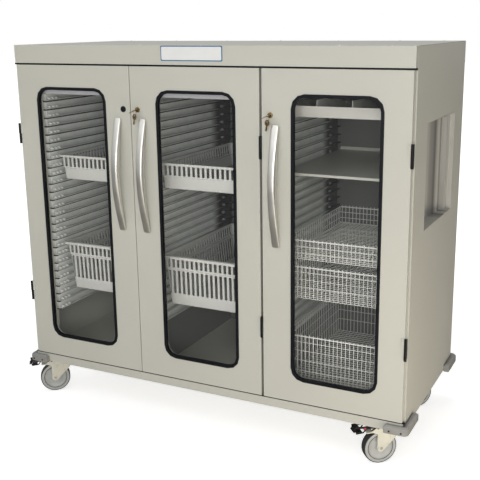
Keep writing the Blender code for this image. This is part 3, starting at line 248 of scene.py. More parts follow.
def mottle_group():
    """Slow, faint changes of colour and gloss over a surface."""
    name = "Mottle"
    if name in bpy.data.node_groups:
        return bpy.data.node_groups[name]
    tree, group_in, group_out = node_group(
        name,
        [
            ("Colour", "NodeSocketColor", (0.5, 0.5, 0.5, 1)),
            ("Strength", "NodeSocketFloat", 0.05),
            ("Scale", "NodeSocketFloat", 4.0),
            ("Roughness", "NodeSocketFloat", 0.5),
        ],
        [("Colour", "NodeSocketColor"), ("Roughness", "NodeSocketFloat")],
    )
    place = add_node(tree, "ShaderNodeTexCoord")
    slow = set_sockets(add_node(tree, "ShaderNodeTexNoise"), Detail=4)
    spread = set_sockets(add_node(tree, "ShaderNodeMapRange"), From_Min=0.3, From_Max=0.7, To_Min=-1)
    shade = add_node(tree, "ShaderNodeMath", operation="MULTIPLY_ADD")
    shade.inputs[2].default_value = 1
    tint = add_node(tree, "ShaderNodeVectorMath", operation="SCALE")
    gloss = add_node(tree, "ShaderNodeMath", operation="MULTIPLY_ADD")
    links = tree.links
    links.new(place.outputs["Object"], slow.inputs["Vector"])
    links.new(group_in.outputs["Scale"], slow.inputs["Scale"])
    links.new(slow.outputs["Fac"], spread.inputs["Value"])
    links.new(spread.outputs["Result"], shade.inputs[0])
    links.new(group_in.outputs["Strength"], shade.inputs[1])
    links.new(group_in.outputs["Colour"], tint.inputs[0])
    links.new(shade.outputs["Value"], tint.inputs["Scale"])
    links.new(tint.outputs["Vector"], group_out.inputs["Colour"])
    links.new(spread.outputs["Result"], gloss.inputs[0])
    links.new(group_in.outputs["Strength"], gloss.inputs[1])
    links.new(group_in.outputs["Roughness"], gloss.inputs[2])
    links.new(gloss.outputs["Value"], group_out.inputs["Roughness"])
    return tree


def grain_group():
    """A fine bump: the skin of powder coat or of moulded plastic."""
    name = "Grain"
    if name in bpy.data.node_groups:
        return bpy.data.node_groups[name]
    tree, group_in, group_out = node_group(
        name,
        [
            ("Scale", "NodeSocketFloat", 800.0),
            ("Height", "NodeSocketFloat", 0.0001),
            ("Stretch", "NodeSocketVector", (1, 1, 1)),
        ],
        [("Normal", "NodeSocketVector")],
    )
    place = add_node(tree, "ShaderNodeTexCoord")
    turn = add_node(tree, "ShaderNodeMapping")
    fine = set_sockets(add_node(tree, "ShaderNodeTexNoise"), Detail=3)
    bump = set_sockets(add_node(tree, "ShaderNodeBump"), Strength=1)
    links = tree.links
    links.new(place.outputs["Object"], turn.inputs["Vector"])
    links.new(group_in.outputs["Stretch"], turn.inputs["Scale"])
    links.new(turn.outputs["Vector"], fine.inputs["Vector"])
    links.new(group_in.outputs["Scale"], fine.inputs["Scale"])
    links.new(fine.outputs["Fac"], bump.inputs["Height"])
    links.new(group_in.outputs["Height"], bump.inputs["Distance"])
    links.new(bump.outputs["Normal"], group_out.inputs["Normal"])
    return tree


def groove_shade_group():
    """A mask of painted shade: one in level grooves, a pitch apart, fading above each, and one far back."""
    name = "Grooves"
    if name in bpy.data.node_groups:
        return bpy.data.node_groups[name]
    tree, group_in, group_out = node_group(
        name,
        [
            ("Height", "NodeSocketFloat", 0),
            ("Pitch", "NodeSocketFloat", 1),
            ("Width Share", "NodeSocketFloat", 0.1),
            ("Shade From", "NodeSocketFloat", 0),
            ("Shade To", "NodeSocketFloat", 1),
        ],
        [("Mask", "NodeSocketFloat")],
    )
    place = add_node(tree, "ShaderNodeTexCoord")
    split = add_node(tree, "ShaderNodeSeparateXYZ")
    above = add_node(tree, "ShaderNodeMath", operation="SUBTRACT")
    turns = add_node(tree, "ShaderNodeMath", operation="DIVIDE")
    part = add_node(tree, "ShaderNodeMath", operation="FRACT")
    line = add_node(tree, "ShaderNodeMath", operation="LESS_THAN")
    shade = add_node(tree, "ShaderNodeMapRange", interpolation_type="SMOOTHSTEP")
    set_sockets(shade, To_Min=0.42, To_Max=0)
    depth = add_node(tree, "ShaderNodeMapRange", interpolation_type="SMOOTHSTEP")
    darker = add_node(tree, "ShaderNodeMath", operation="MAXIMUM")
    mask = add_node(tree, "ShaderNodeMath", operation="MAXIMUM")
    links = tree.links
    links.new(place.outputs["Object"], split.inputs["Vector"])
    links.new(split.outputs["Z"], above.inputs[0])
    links.new(group_in.outputs["Height"], above.inputs[1])
    links.new(above.outputs["Value"], turns.inputs[0])
    links.new(group_in.outputs["Pitch"], turns.inputs[1])
    links.new(turns.outputs["Value"], part.inputs[0])
    links.new(part.outputs["Value"], line.inputs[0])
    links.new(group_in.outputs["Width Share"], line.inputs[1])
    links.new(part.outputs["Value"], shade.inputs["Value"])
    links.new(split.outputs["Y"], depth.inputs["Value"])
    links.new(group_in.outputs["Shade From"], depth.inputs["From Min"])
    links.new(group_in.outputs["Shade To"], depth.inputs["From Max"])
    links.new(line.outputs["Value"], darker.inputs[0])
    links.new(shade.outputs["Result"], darker.inputs[1])
    links.new(darker.outputs["Value"], mask.inputs[0])
    links.new(depth.outputs["Result"], mask.inputs[1])
    links.new(mask.outputs["Value"], group_out.inputs["Mask"])
    return tree


def depth_shade_group():
    """A mask of painted shade that rises toward the back, in full on faces that look up and by a share on
    walls.
    """
    name = "Depth"
    if name in bpy.data.node_groups:
        return bpy.data.node_groups[name]
    tree, group_in, group_out = node_group(
        name,
        [
            ("Shade From", "NodeSocketFloat", 0),
            ("Shade To", "NodeSocketFloat", 1),
            ("Walls Share", "NodeSocketFloat", 1),
        ],
        [("Mask", "NodeSocketFloat")],
    )
    place = add_node(tree, "ShaderNodeTexCoord")
    split = add_node(tree, "ShaderNodeSeparateXYZ")
    facing = add_node(tree, "ShaderNodeSeparateXYZ")
    deep = add_node(tree, "ShaderNodeMapRange", interpolation_type="SMOOTHSTEP")
    upward = add_node(tree, "ShaderNodeMapRange", interpolation_type="SMOOTHSTEP")
    set_sockets(upward, From_Min=0.5, From_Max=0.9)
    amount = add_node(tree, "ShaderNodeMath", operation="MULTIPLY")
    links = tree.links
    links.new(place.outputs["Object"], split.inputs["Vector"])
    links.new(place.outputs["Normal"], facing.inputs["Vector"])
    links.new(split.outputs["Y"], deep.inputs["Value"])
    links.new(group_in.outputs["Shade From"], deep.inputs["From Min"])
    links.new(group_in.outputs["Shade To"], deep.inputs["From Max"])
    links.new(facing.outputs["Z"], upward.inputs["Value"])
    links.new(group_in.outputs["Walls Share"], upward.inputs["To Min"])
    links.new(deep.outputs["Result"], amount.inputs[0])
    links.new(upward.outputs["Result"], amount.inputs[1])
    links.new(amount.outputs["Value"], group_out.inputs["Mask"])
    return tree


def finish(name, colour, roughness, mottle=0.04, scale=4.0, grain=FINE_GRAIN, stretch=(1, 1, 1), **sockets):
    """A material with a mottled colour and gloss and a fine grain; other sockets are set as given."""
    if name in bpy.data.materials:
        return bpy.data.materials[name]
    material = bpy.data.materials.new(name)
    material.use_nodes = True
    tree = material.node_tree
    shader = tree.nodes["Principled BSDF"]
    mottled = add_node(tree, "ShaderNodeGroup", node_tree=mottle_group())
    set_sockets(mottled, Colour=(*colour, 1), Strength=mottle, Scale=scale, Roughness=roughness)
    grained = add_node(tree, "ShaderNodeGroup", node_tree=grain_group())
    set_sockets(grained, Scale=grain[0], Height=grain[1], Stretch=stretch)
    tree.links.new(mottled.outputs["Colour"], shader.inputs["Base Color"])
    tree.links.new(mottled.outputs["Roughness"], shader.inputs["Roughness"])
    tree.links.new(grained.outputs["Normal"], shader.inputs["Normal"])
    set_sockets(shader, **sockets)
    material.diffuse_color = (*colour, 1)
    return material


def toned(material, group, tone, **values):
    """Mixes a tone into a material's colour by the mask of a group, once; here each tone is painted shade.
    """
    tree = material.node_tree
    if "Tone" in tree.nodes:
        return material
    shader = tree.nodes["Principled BSDF"]
    mask = set_sockets(add_node(tree, "ShaderNodeGroup", node_tree=group), **values)
    mixed = add_node(tree, "ShaderNodeMix", name="Tone", data_type="RGBA")
    mixed.inputs["B"].default_value = (*tone, 1)
    tree.links.new(mask.outputs["Mask"], mixed.inputs["Factor"])
    tree.links.new(shader.inputs["Base Color"].links[0].from_socket, mixed.inputs["A"])
    tree.links.new(mixed.outputs["Result"], shader.inputs["Base Color"])
    return material


def painted_shade_behind(material, walls_share):
    """Paints shade into a material from the trays' front to their back, walls by a share of what floors
    get.
    """
    low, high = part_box("tray_1_shallow")
    start = low.y + sizes().tray_front
    shade = {"Shade_From": start, "Shade_To": high.y, "Walls_Share": walls_share}
    return toned(material, depth_shade_group(), colours().tray_painted_shade, **shade)


def paint():
    return finish("Beige Powder Coat", colours().paint, 0.42, mottle=0.018, scale=2.5, grain=POWDER_GRAIN)


# Painted shade on the back panel's inside
def back_painted_shade():
    return finish("Back Painted Shade", colours().back_painted_shade, 0.4, mottle=0.03, scale=3.0)


def header_paint():
    return finish("Header Paint", colours().header_paint, 0.4, mottle=0.03, scale=3.0)


# Painted shade: paint of the dividers, darkened
def divider_painted_shade():
    return finish("Divider Painted Shade", colours().divider_painted_shade, 0.5, mottle=0.05, scale=3.0)


# Painted shade on the shelf's top
def shelf_top_painted_shade():
    return finish("Shelf Top Painted Shade", colours().shelf_top_painted_shade, 0.34, mottle=0.03, grain=SHELF_GRAIN)


def rack_paint():
    return finish("Rack Paint", colours().rack_paint, 0.4, mottle=0.03, scale=8.0)


def recess_paint():
    """Paint of a recess with painted light and shade in bands from its front to its back: dark bands stand
    for shade deep in it, light ones for its lit steps.
    """
    name = "Recess Paint"
    if name in bpy.data.materials:
        return bpy.data.materials[name]
    material = finish(name, colours().recess_paint, 0.4, mottle=0.03, scale=6.0)
    tree = material.node_tree
    shader = tree.nodes["Principled BSDF"]
    low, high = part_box("push_handle_right")
    place = add_node(tree, "ShaderNodeTexCoord")
    split = add_node(tree, "ShaderNodeSeparateXYZ")
    share = set_sockets(add_node(tree, "ShaderNodeMapRange"), From_Min=low.y, From_Max=high.y)
    ramp = add_node(tree, "ShaderNodeValToRGB")
    bands = ramp.color_ramp.elements
    for number, (start, tone) in enumerate(RECESS_SHADE_SHARES):
        band = bands[number] if number < 2 else bands.new(start)
        band.position = start
        band.color = (tone, tone, tone, 1)
    shaded = add_node(tree, "ShaderNodeMix", data_type="RGBA", blend_type="MULTIPLY")
    shaded.inputs["Factor"].default_value = 1
    tree.links.new(place.outputs["Object"], split.inputs["Vector"])
    tree.links.new(split.outputs["Y"], share.inputs["Value"])
    tree.links.new(share.outputs["Result"], ramp.inputs["Fac"])
    tree.links.new(shader.inputs["Base Color"].links[0].from_socket, shaded.inputs["A"])
    tree.links.new(ramp.outputs["Color"], shaded.inputs["B"])
    tree.links.new(shaded.outputs["Result"], shader.inputs["Base Color"])
    return material


def guide_plastic():
    """The guides' plastic, with painted shade in the groove under each rail and toward the back."""
    low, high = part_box("guide_1_left")
    return toned(
        finish("Guide Plastic", colours().guide, 0.5, mottle=0.06, scale=24.0, grain=GUIDE_GRAIN),
        groove_shade_group(),
        colours().groove_painted_shade,
        Height=low.z,
        Pitch=sizes().rail_pitch,
        Width_Share=sizes().groove_shade_share,
        Shade_From=high.y - sizes().shade_start,
        Shade_To=high.y - sizes().shade_end,
    )


def stop_plastic():
    """The stops' plastic, with painted shade toward the back like the trays'."""
    return painted_shade_behind(finish("Stop Plastic", colours().stop, 0.4, scale=60.0), 1.0)


def tray_plastic():
    """The trays' plastic, darker toward the back, where little light reaches it."""
    plastic = finish("Tray Plastic", colours().tray, 0.42, mottle=0.03, scale=12.0, grain=TRAY_GRAIN)
    return painted_shade_behind(plastic, 0.3)


def wire_metal():
    return finish("Bright Wire", colours().wire, 0.32, mottle=0.05, scale=60.0)


def rubber():
    return finish("Black Rubber", colours().rubber, 0.45, mottle=0.1, scale=30.0, Specular_IOR_Level=0.25)


def nickel():
    """Satin metal, with its fine grain drawn out upwards."""
    drawn = {"grain": SATIN_GRAIN, "stretch": (20, 20, 1)}
    return finish("Satin Nickel", colours().nickel, 0.42, scale=20.0, **drawn, Metallic=1.0)


def brass():
    return finish("Key Brass", colours().brass, 0.30, mottle=0.12, scale=200.0, Metallic=1.0)


def black_plastic():
    return finish("Black Plastic", colours().black, 0.4, mottle=0.1, scale=60.0, Specular_IOR_Level=0.3)


def bumper_plastic():
    return finish("Bumper Plastic", colours().bumper, 0.45, mottle=0.08, scale=40.0, grain=BUMPER_GRAIN)


def fork_paint():
    return finish("Fork Paint", colours().fork, 0.32, mottle=0.06, scale=30.0)


def wheel_plastic():
    return finish("Wheel Plastic", colours().wheel, 0.45, mottle=0.06, scale=40.0)


def tread_rubber():
    return finish("Tread Rubber", colours().tread, 0.6, mottle=0.10, scale=50.0)


def red_mark():
    return finish("Red Mark", colours().red, 0.4, mottle=0.05, scale=80.0)


def plate_blue():
    return finish("Plate Border", colours().plate_border, 0.35, mottle=0.05, scale=60.0)


def plate_white():
    return finish("Plate Field", colours().plate_field, 0.35, mottle=0.02, scale=30.0)


def clear_pane():
    """Clear plastic that lets nearly all light through and keeps a faint gloss."""
    clear = {"grain": PANE_WAVES, "Alpha": 0.02, "IOR": 1.3}
    return finish("Clear Pane", colours().pane, 0.02, mottle=0.01, scale=2.0, **clear)


def plain_shape(mesh):
    shape = bmesh.new()
    shape.from_mesh(mesh)
    return shape


def everything(shape):
    return list(shape.verts) + list(shape.edges) + list(shape.faces)


def open_edges(shape):
    return [edge for edge in shape.edges if len(edge.link_faces) == 1]


def new_object(name, shape):
    """An object in the scene that holds a shape, which is used up."""
    mesh = bpy.data.meshes.new(name)
    shape.to_mesh(mesh)
    shape.free()
    item = bpy.data.objects.new(name, mesh)
    bpy.context.scene.collection.objects.link(item)
    return item


def new_piece(name, shape, material, body, replaced=()):
    """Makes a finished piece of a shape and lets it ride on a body."""
    item = new_object(name, shape)
    item.data.materials.append(material)
    item.data.shade_smooth()
    item.data.set_sharp_from_angle(angle=SHARP_ANGLE)
    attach(item, body)
    if replaced:
        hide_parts(*replaced)
    return item


def worked_out(item, *others):
    """The shape that an object's modifiers make of it; the object and the others are removed."""
    evaluated = item.evaluated_get(bpy.context.evaluated_depsgraph_get())
    shape = plain_shape(evaluated.to_mesh())
    evaluated.to_mesh_clear()
    for used in (item, *others):
        mesh = used.data
        bpy.data.objects.remove(used)
        bpy.data.meshes.remove(mesh)
    return shape


def carved(shape, cutter):
    """The shape with the cutter's volume taken out of it; both are used up."""
    whole, tool = new_object("whole", shape), new_object("cutter", cutter)
    modifier = whole.modifiers.new("carve", "BOOLEAN")
    modifier.operation = "DIFFERENCE"
    modifier.solver = "EXACT"
    modifier.object = tool
    return worked_out(whole, tool)


def direction(edge):
    return (edge.verts[0].co - edge.verts[1].co).normalized()


def bevelled(shape, edges, width, steps):
    bmesh.ops.bevel(
        shape, geom=list(edges), offset=width, segments=steps, profile=0.5, affect="EDGES", material=-1
    )


def block(shape, low, high, corner=0, axis=None, steps=3):
    """Adds a box; with a corner given, its edges along an axis, or all of them, are rounded."""
    low, high = Vector(low), Vector(high)
    made = bmesh.ops.create_cube(shape, size=1)["verts"]
    bmesh.ops.scale(shape, vec=high - low, verts=made)
    bmesh.ops.translate(shape, vec=(low + high) / 2, verts=made)
    if corner:
        edges = {edge for vertex in made for edge in vertex.link_edges}
        if axis is not None:
            edges = {edge for edge in edges if abs(direction(edge)[axis]) > SAME_WAY}
        bevelled(shape, edges, corner, steps)
    return shape


def rod(shape, start, end, radius, sides=8):
    """Adds a round bar between two points."""
    start, end = Vector(start), Vector(end)
    way = end - start
    turn = way.to_track_quat("Z", "Y").to_matrix().to_4x4()
    bmesh.ops.create_cone(
        shape,
        cap_ends=True,
        segments=sides,
        radius1=radius,
        radius2=radius,
        depth=way.length,
        matrix=Matrix.Translation((start + end) / 2) @ turn,
    )
    return shape


def bent_wire(shape, points, radius, sides=6):
    """Adds a wire along straight stretches, with a ball at each bend and at its two tips."""
    for start, end in zip(points, points[1:]):
        rod(shape, start, end, radius, sides)
    for point in points:
        bmesh.ops.create_icosphere(shape, subdivisions=1, radius=radius, matrix=Matrix.Translation(point))
    return shape


def turned(profile, place, axis, steps=48):
    """Spins a profile of (radius, along) points round an axis through a place."""
    shape = bmesh.new()
    points = [shape.verts.new((radius, 0, along)) for radius, along in profile]
    edges = [shape.edges.new(pair) for pair in zip(points, points[1:])]
    full_turn = {"cent": (0, 0, 0), "axis": (0, 0, 1), "angle": math.tau, "use_merge": True}
    bmesh.ops.spin(shape, geom=points + edges, steps=steps, **full_turn)
    bmesh.ops.remove_doubles(shape, verts=shape.verts, dist=WELD)
    bmesh.ops.recalc_face_normals(shape, faces=shape.faces)
    turn = Vector(axis).to_track_quat("Z", "Y").to_matrix().to_4x4()
    bmesh.ops.transform(shape, matrix=Matrix.Translation(place) @ turn, verts=shape.verts)
    return shape


def outline_of(shares, across, along):
    """Profile points from shares of a radius and of a length."""
    return [(across * radius, along * height) for radius, height in shares]


def both_sides(half):
    """A closed profile from the half of it that lies on one side of its middle."""
    return list(half) + [(radius, -along) for radius, along in reversed(half) if along] + [half[0]]


def gathered(parts):
    """One shape that holds several, which are used up."""
    whole = bmesh.new()
    for part in parts:
        mesh = bpy.data.meshes.new("part")
        part.to_mesh(mesh)
        part.free()
        whole.from_mesh(mesh)
        bpy.data.meshes.remove(mesh)
    return whole


def welded_copy(node):
    """A copy of a solid's mesh, welded, with its flat faces whole again."""
    shape = plain_shape(frame["nodes"][node].data)
    bmesh.ops.remove_doubles(shape, verts=shape.verts, dist=WELD)
    bmesh.ops.dissolve_limit(shape, angle_limit=FLAT_ANGLE, verts=shape.verts, edges=shape.edges)
    return shape


def soften(node, material, body, width, segments=2, shape=None):
    """Replaces a solid by a copy of it, or by another shape for it, whose sharp edges are rounded."""
    shape = shape or welded_copy(node)
    item = new_piece(f"soft_{node}", shape, material, body, replaced=(node,))
    bevel = item.modifiers.new("rounding", "BEVEL")
    bevel.width = width
    bevel.segments = segments
    bevel.limit_method = "ANGLE"
    bevel.angle_limit = EDGE_ANGLE
    bevel.harden_normals = True
    bevel.use_clamp_overlap = True
    return item


def screw_head(place, axis):
    """A domed screw head with a round recess, on a face that looks along an axis."""
    radius = sizes().screw
    return turned(outline_of(SCREW_SHARES, radius, radius), place, axis, 20)


def dress(names, material):
    """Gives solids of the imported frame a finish."""
    for name in names:
        item = frame["nodes"][name]
        item.data.materials.clear()
        item.data.materials.append(material)


class CABINET_OT_finish_solids(bpy.types.Operator):
    """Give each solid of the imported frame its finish"""

    bl_idname = "cabinet.finish_solids"
    bl_label = "Finish Solids"

    def execute(self, context):
        dress(["base_frame", "top_cap", *named("side_panel", SIDES), *named("door", COLUMNS)], paint())
        dress(named("push_handle", SIDES), recess_paint())
        dress(["shelf"], shelf_top_painted_shade())
        dress(["back_panel"], back_painted_shade())
        dress(["header_panel"], header_paint())
        dress(named("divider", SIDES), divider_painted_shade())
        dress(named("guide", COLUMNS, SIDES), guide_plastic())
        dress(named("tray", COLUMNS[:2], TRAY_SIZES), tray_plastic())
        dress(["top_rack"], rack_paint())
        dress(named("basket", BASKET_SIZES), wire_metal())
        dress(named("gasket", COLUMNS), rubber())
        dress(named("window", COLUMNS), clear_pane())
        dress(named("handle", COLUMNS), nickel())
        dress(named("lock", COLUMNS[1:]), brass())
        dress(["hole_plug", *named("hinge", COLUMNS, ENDS)], black_plastic())
        dress(named("brake_pedal", CORNERS[:2]), black_plastic())
        dress(named("bumper", CORNERS), bumper_plastic())
        dress(named("caster_fork", CORNERS), fork_paint())
        dress(named("caster_wheel", CORNERS), wheel_plastic())
        return {"FINISHED"}


class CABINET_OT_round_sheets(bpy.types.Operator):
    """Round the folded edges of the cap, panels, shelf, rack and doors"""

    bl_idname = "cabinet.round_sheets"
    bl_label = "Round Sheets"

    BACK_LIP = 0.002
    # Least cosine between a face's normal and the way that it counts as facing
    FACING = 0.5

    def painted_shade_faces(self, item, material, facing):
        """Gives the faces that look one way another material, which paints shade on them."""
        item.data.materials.append(material)
        for face in item.data.polygons:
            face.material_index = int(face.normal.dot(Vector(facing)) > self.FACING)

    def bead(self, number):
        """The front of a window's profile, down to the lip behind its pane."""
        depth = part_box(f"window_{number}")[1].y + self.BACK_LIP
        shape = welded_copy(f"gasket_{number}")
        cut = {"plane_co": (0, depth, 0), "plane_no": (0, 1, 0), "clear_outer": True}
        bmesh.ops.bisect_plane(shape, geom=everything(shape), **cut)
        bmesh.ops.bridge_loops(shape, edges=open_edges(shape))
        bmesh.ops.recalc_face_normals(shape, faces=shape.faces)
        return shape

    def execute(self, context):
        edge = sizes().edge
        soften("top_cap", paint(), "cabinet", edge)
        for side in SIDES:
            soften(f"side_panel_{side}", paint(), "cabinet", edge / 2)
            soften(f"push_handle_{side}", recess_paint(), "cabinet", edge / 2)
        shelf = soften("shelf", paint(), "cabinet", edge / 3)
        # The shelf's top takes painted shade
        self.painted_shade_faces(shelf, shelf_top_painted_shade(), (0, 0, 1))
        back = soften("back_panel", paint(), "cabinet", edge / 3)
        # The back panel's inside takes painted shade
        self.painted_shade_faces(back, back_painted_shade(), (0, -1, 0))
        soften("top_rack", rack_paint(), "top_rack", edge / 3)
        for number in COLUMNS:
            door = f"door_{number}"
            soften(door, paint(), door, edge)
            soften(f"gasket_{number}", rubber(), door, edge, shape=self.bead(number))
        return {"FINISHED"}


class CABINET_OT_build_trays(bpy.types.Operator):
    """Model the moulded trays with their turned-down rims, steps and slotted walls"""

    bl_idname = "cabinet.build_trays"
    bl_label = "Build Trays"

    RIM = 0.010
    OVERHANG = 0.012
    SIDE_TAPER_SHARE = 0.105
    END_TAPER_SHARE = 0.030
    STEP_DROP = 0.053
    STEP = 0.0025
    SHALLOW_SLOTS = (0.0125, 0.050)
    UPPER_SLOTS = (0.0125, 0.047)
    LOWER_SLOTS = (0.060, 0.154)
    SLOT_ROWS = {"shallow": (SHALLOW_SLOTS,), "deep": (UPPER_SLOTS, LOWER_SLOTS)}

    def walls(self, half, length, body):
        """The outer skin of the walls and floor, drawn in towards the floor and by a step."""
        wall = sizes().tray_wall
        reach = half - self.OVERHANG
        shape = bmesh.new()
        corner = sizes().tray_corner
        far = (reach, length - self.OVERHANG, self.RIM - wall)
        block(shape, (-reach, self.OVERHANG, -body), far, corner, axis=2, steps=5)
        low = [edge for edge in shape.edges if all(vertex.co.z < -body / 2 for vertex in edge.verts)]
        bevelled(shape, low, corner / 3, steps=2)
        middle = length / 2
        step_drop = self.STEP_DROP - self.RIM
        for height in (-step_drop, -step_drop - self.STEP):
            level = {"plane_co": (0, 0, height), "plane_no": (0, 0, 1)}
            bmesh.ops.bisect_plane(shape, geom=everything(shape), **level)
        for vertex in shape.verts:
            drop = max(-vertex.co.z, 0)
            below = self.STEP if drop > step_drop + self.STEP / 2 else 0
            vertex.co.x *= 1 - (self.SIDE_TAPER_SHARE * drop + below) / reach
            along = 1 - (self.END_TAPER_SHARE * drop + below) / (middle - self.OVERHANG)
            vertex.co.y = middle + (vertex.co.y - middle) * along
        top = [face for face in shape.faces if face.calc_center_median().z > self.RIM - 2 * wall]
        bmesh.ops.delete(shape, geom=top, context="FACES")
        return shape

    def rim(self, shape, length):
        """Turns the open edge outwards and then down."""
        wall = sizes().tray_wall
        middle = length / 2
        for outwards, down in ((self.OVERHANG - wall, 0), (0, self.RIM - wall)):
            made = bmesh.ops.extrude_edge_only(shape, edges=open_edges(shape))["geom"]
            verts = [part for part in made if isinstance(part, bmesh.types.BMVert)]
            reach = max(vertex.co.x for vertex in verts)
            back = max(vertex.co.y for vertex in verts) - middle
            for vertex in verts:
                vertex.co.x *= 1 + outwards / reach
                vertex.co.y = middle + (vertex.co.y - middle) * (1 + outwards / back)
                vertex.co.z -= down
        return shape

    def slotted(self, shape, half, length, size):
        """Cuts the rows of slots: each cutter goes through two facing walls."""
        width = sizes().slot_width
        pitch = sizes().slot_pitch
        for top, bottom in self.SLOT_ROWS[size]:
            drop = (top + bottom) / 2
            inset = self.SIDE_TAPER_SHARE * drop + self.OVERHANG + 2 * self.STEP
            # The axis a row runs along, its middle and half length, and where its cutter starts and ends
            spans = (
                (0, 0, half - inset, (-self.RIM, length + self.RIM)),
                (1, length / 2, length / 2 - inset, (-half - self.RIM, half + self.RIM)),
            )
            for axis, middle, reach, through in spans:
                cutter = bmesh.new()
                count = int((2 * reach - width) / pitch) + 1
                for number in range(count):
                    place = middle + pitch * (number - (count - 1) / 2)
                    low = [through[0], through[0], self.RIM - bottom]
                    high = [through[1], through[1], self.RIM - top]
                    low[axis] = place - width / 2
                    high[axis] = place + width / 2
                    block(cutter, low, high, width / 4, axis=1 - axis, steps=2)
                shape = carved(shape, cutter)
        return shape

    def walled(self, skin):
        """Gives a skin the thickness of a tray's wall, inwards."""
        item = new_object("tray_skin", skin)
        wall = item.modifiers.new("wall", "SOLIDIFY")
        wall.thickness = sizes().tray_wall
        wall.offset = -1
        wall.use_even_offset = True
        return worked_out(item)

    def execute(self, context):
        for size in TRAY_SIZES:
            low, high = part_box(f"tray_1_{size}")
            half = (high.x - low.x) / 2
            length = high.y - low.y
            body = high.z - low.z - self.RIM
            skin = self.rim(self.walls(half, length, body), length)
            bmesh.ops.recalc_face_normals(skin, faces=skin.faces)
            tray = self.slotted(self.walled(skin), half, length, size)
            for column in COLUMNS[:2]:
                name = f"tray_{column}_{size}"
                low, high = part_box(name)
                shape = tray.copy()
                place = ((low.x + high.x) / 2, low.y, high.z - self.RIM)
                bmesh.ops.translate(shape, vec=place, verts=shape.verts)
                new_piece(f"fine_{name}", shape, tray_plastic(), name, (name,))
            tray.free()
        return {"FINISHED"}


class CABINET_OT_build_baskets(bpy.types.Operator):
    """Model the wire baskets: bent wires, level wires, a thick rim and two folded runners"""

    bl_idname = "cabinet.build_baskets"
    bl_label = "Build Baskets"

    RUNNER = 0.010
    RUNNER_THICKNESS = 0.0015
    RIM_RISE = 0.0255
    TIP = 0.004
    LEVEL_DROPS = {
        "shallow": (0.026, 0.050),
        "medium": (0.022, 0.050, 0.079),
        "deep": (0.026, 0.060, 0.098, 0.140),
    }
    CROSS_PITCH = 0.0205

    def wires(self, shape, axis, span, pitch, bends):
        """Adds a row of bent wires along an axis; each runs through the (across, height) bends."""
        start, end = span
        count = int((end - start - 4 * sizes().rim_wire) / pitch)
        for number in range(count + 1):
            points = [Vector((across, across, height)) for across, height in bends]
            for point in points:
                point[axis] = (start + end) / 2 + pitch * (number - count / 2)
            bent_wire(shape, points, sizes().wire)

    def execute(self, context):
        thin = sizes().wire
        thick = sizes().rim_wire
        for size in BASKET_SIZES:
            name = f"basket_{size}"
            low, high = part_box(name)
            left, right = low.x + self.RUNNER, high.x - self.RUNNER
            front, back, floor, top = low.y, high.y, low.z, high.z
            shape = bmesh.new()
            rim = top - thick
            ring = [(left + thick, front + thick), (right - thick, front + thick)]
            ring += [(right - thick, back - thick), (left + thick, back - thick)]
            levels = [(rim, thick), (floor + thin, thin)]
            levels += [(top - drop, thin) for drop in self.LEVEL_DROPS[size]]
            for height, radius in levels:
                points = [Vector((x, y, height)) for x, y in ring + ring[:1]]
                bent_wire(shape, points, radius, 8)
            outer = thick - thin
            near, far, foot, tip = front + outer, back - outer, floor + 2 * thin, top + self.TIP
            bends = [(near, tip), (near, foot), (far, foot), (far, tip)]
            self.wires(shape, 0, (left, right), sizes().wire_pitch, bends)
            near, far, foot = left + thick, right - thick, floor + 4 * thin
            bends = [(near, rim), (near, foot), (far, foot), (far, rim)]
            self.wires(shape, 1, (front, back), self.CROSS_PITCH, bends)
            runner = top - self.RIM_RISE
            for start, end in ((low.x, left + thick), (right - thick, high.x)):
                block(shape, (start, front, runner), (end, back, runner + self.RUNNER_THICKNESS))
            new_piece(f"fine_{name}", shape, wire_metal(), name, (name,))
        return {"FINISHED"}


class CABINET_OT_build_guides(bpy.types.Operator):
    """Add the small stops that stand on each guide's rails near the front and the back"""

    bl_idname = "cabinet.build_guides"
    bl_label = "Build Guide Stops"

    LOWEST = 0.0115
    # How far a stop and a hook stand out, run along and rise
    STOP = (0.0125, 0.012, 0.008)
    HOOK = (0.012, 0.014, 0.009)
    STOP_EDGE = 0.0025
    STOP_CLEARANCE = 0.0008
    FROM_FRONT = (0.006, 0.027, 0.048)
    FROM_BACK = 0.100

    def inner_end(self, number, side):
        """Place in x where the stops start: on the ribs, or in column 3 clear of what slides past."""
        low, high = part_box(f"guide_{number}_{side}")
        if number != COLUMNS[-1]:
            return high.x if side == "left" else low.x
        sliders = ["top_rack", *named("basket", BASKET_SIZES)]
        edges = [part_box(piece)[SIDES.index(side)].x for piece in sliders]
        return min(edges) - self.STOP_CLEARANCE if side == "left" else max(edges) + self.STOP_CLEARANCE

    def execute(self, context):
        pitch = sizes().rail_pitch
        for number, side in itertools.product(COLUMNS, SIDES):
            low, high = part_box(f"guide_{number}_{side}")
            start = self.inner_end(number, side)
            outwards = -1 if side == "left" else 1
            lumps = [(low.y + front, self.STOP) for front in self.FROM_FRONT]
            lumps.append((high.y - self.FROM_BACK, self.HOOK))
            shape = bmesh.new()
            for rail in range(int((high.z - low.z) / pitch) + 1):
                base = low.z + self.LOWEST + rail * pitch
                for front, (reach, along, height) in lumps:
                    if base + height < high.z:
                        left, right = sorted((start, start + outwards * reach))
                        far = (right, front + along, base + height)
                        block(shape, (left, front, base), far, self.STOP_EDGE)
            new_piece(f"stops_{number}_{side}", shape, stop_plastic(), "cabinet")
        return {"FINISHED"}


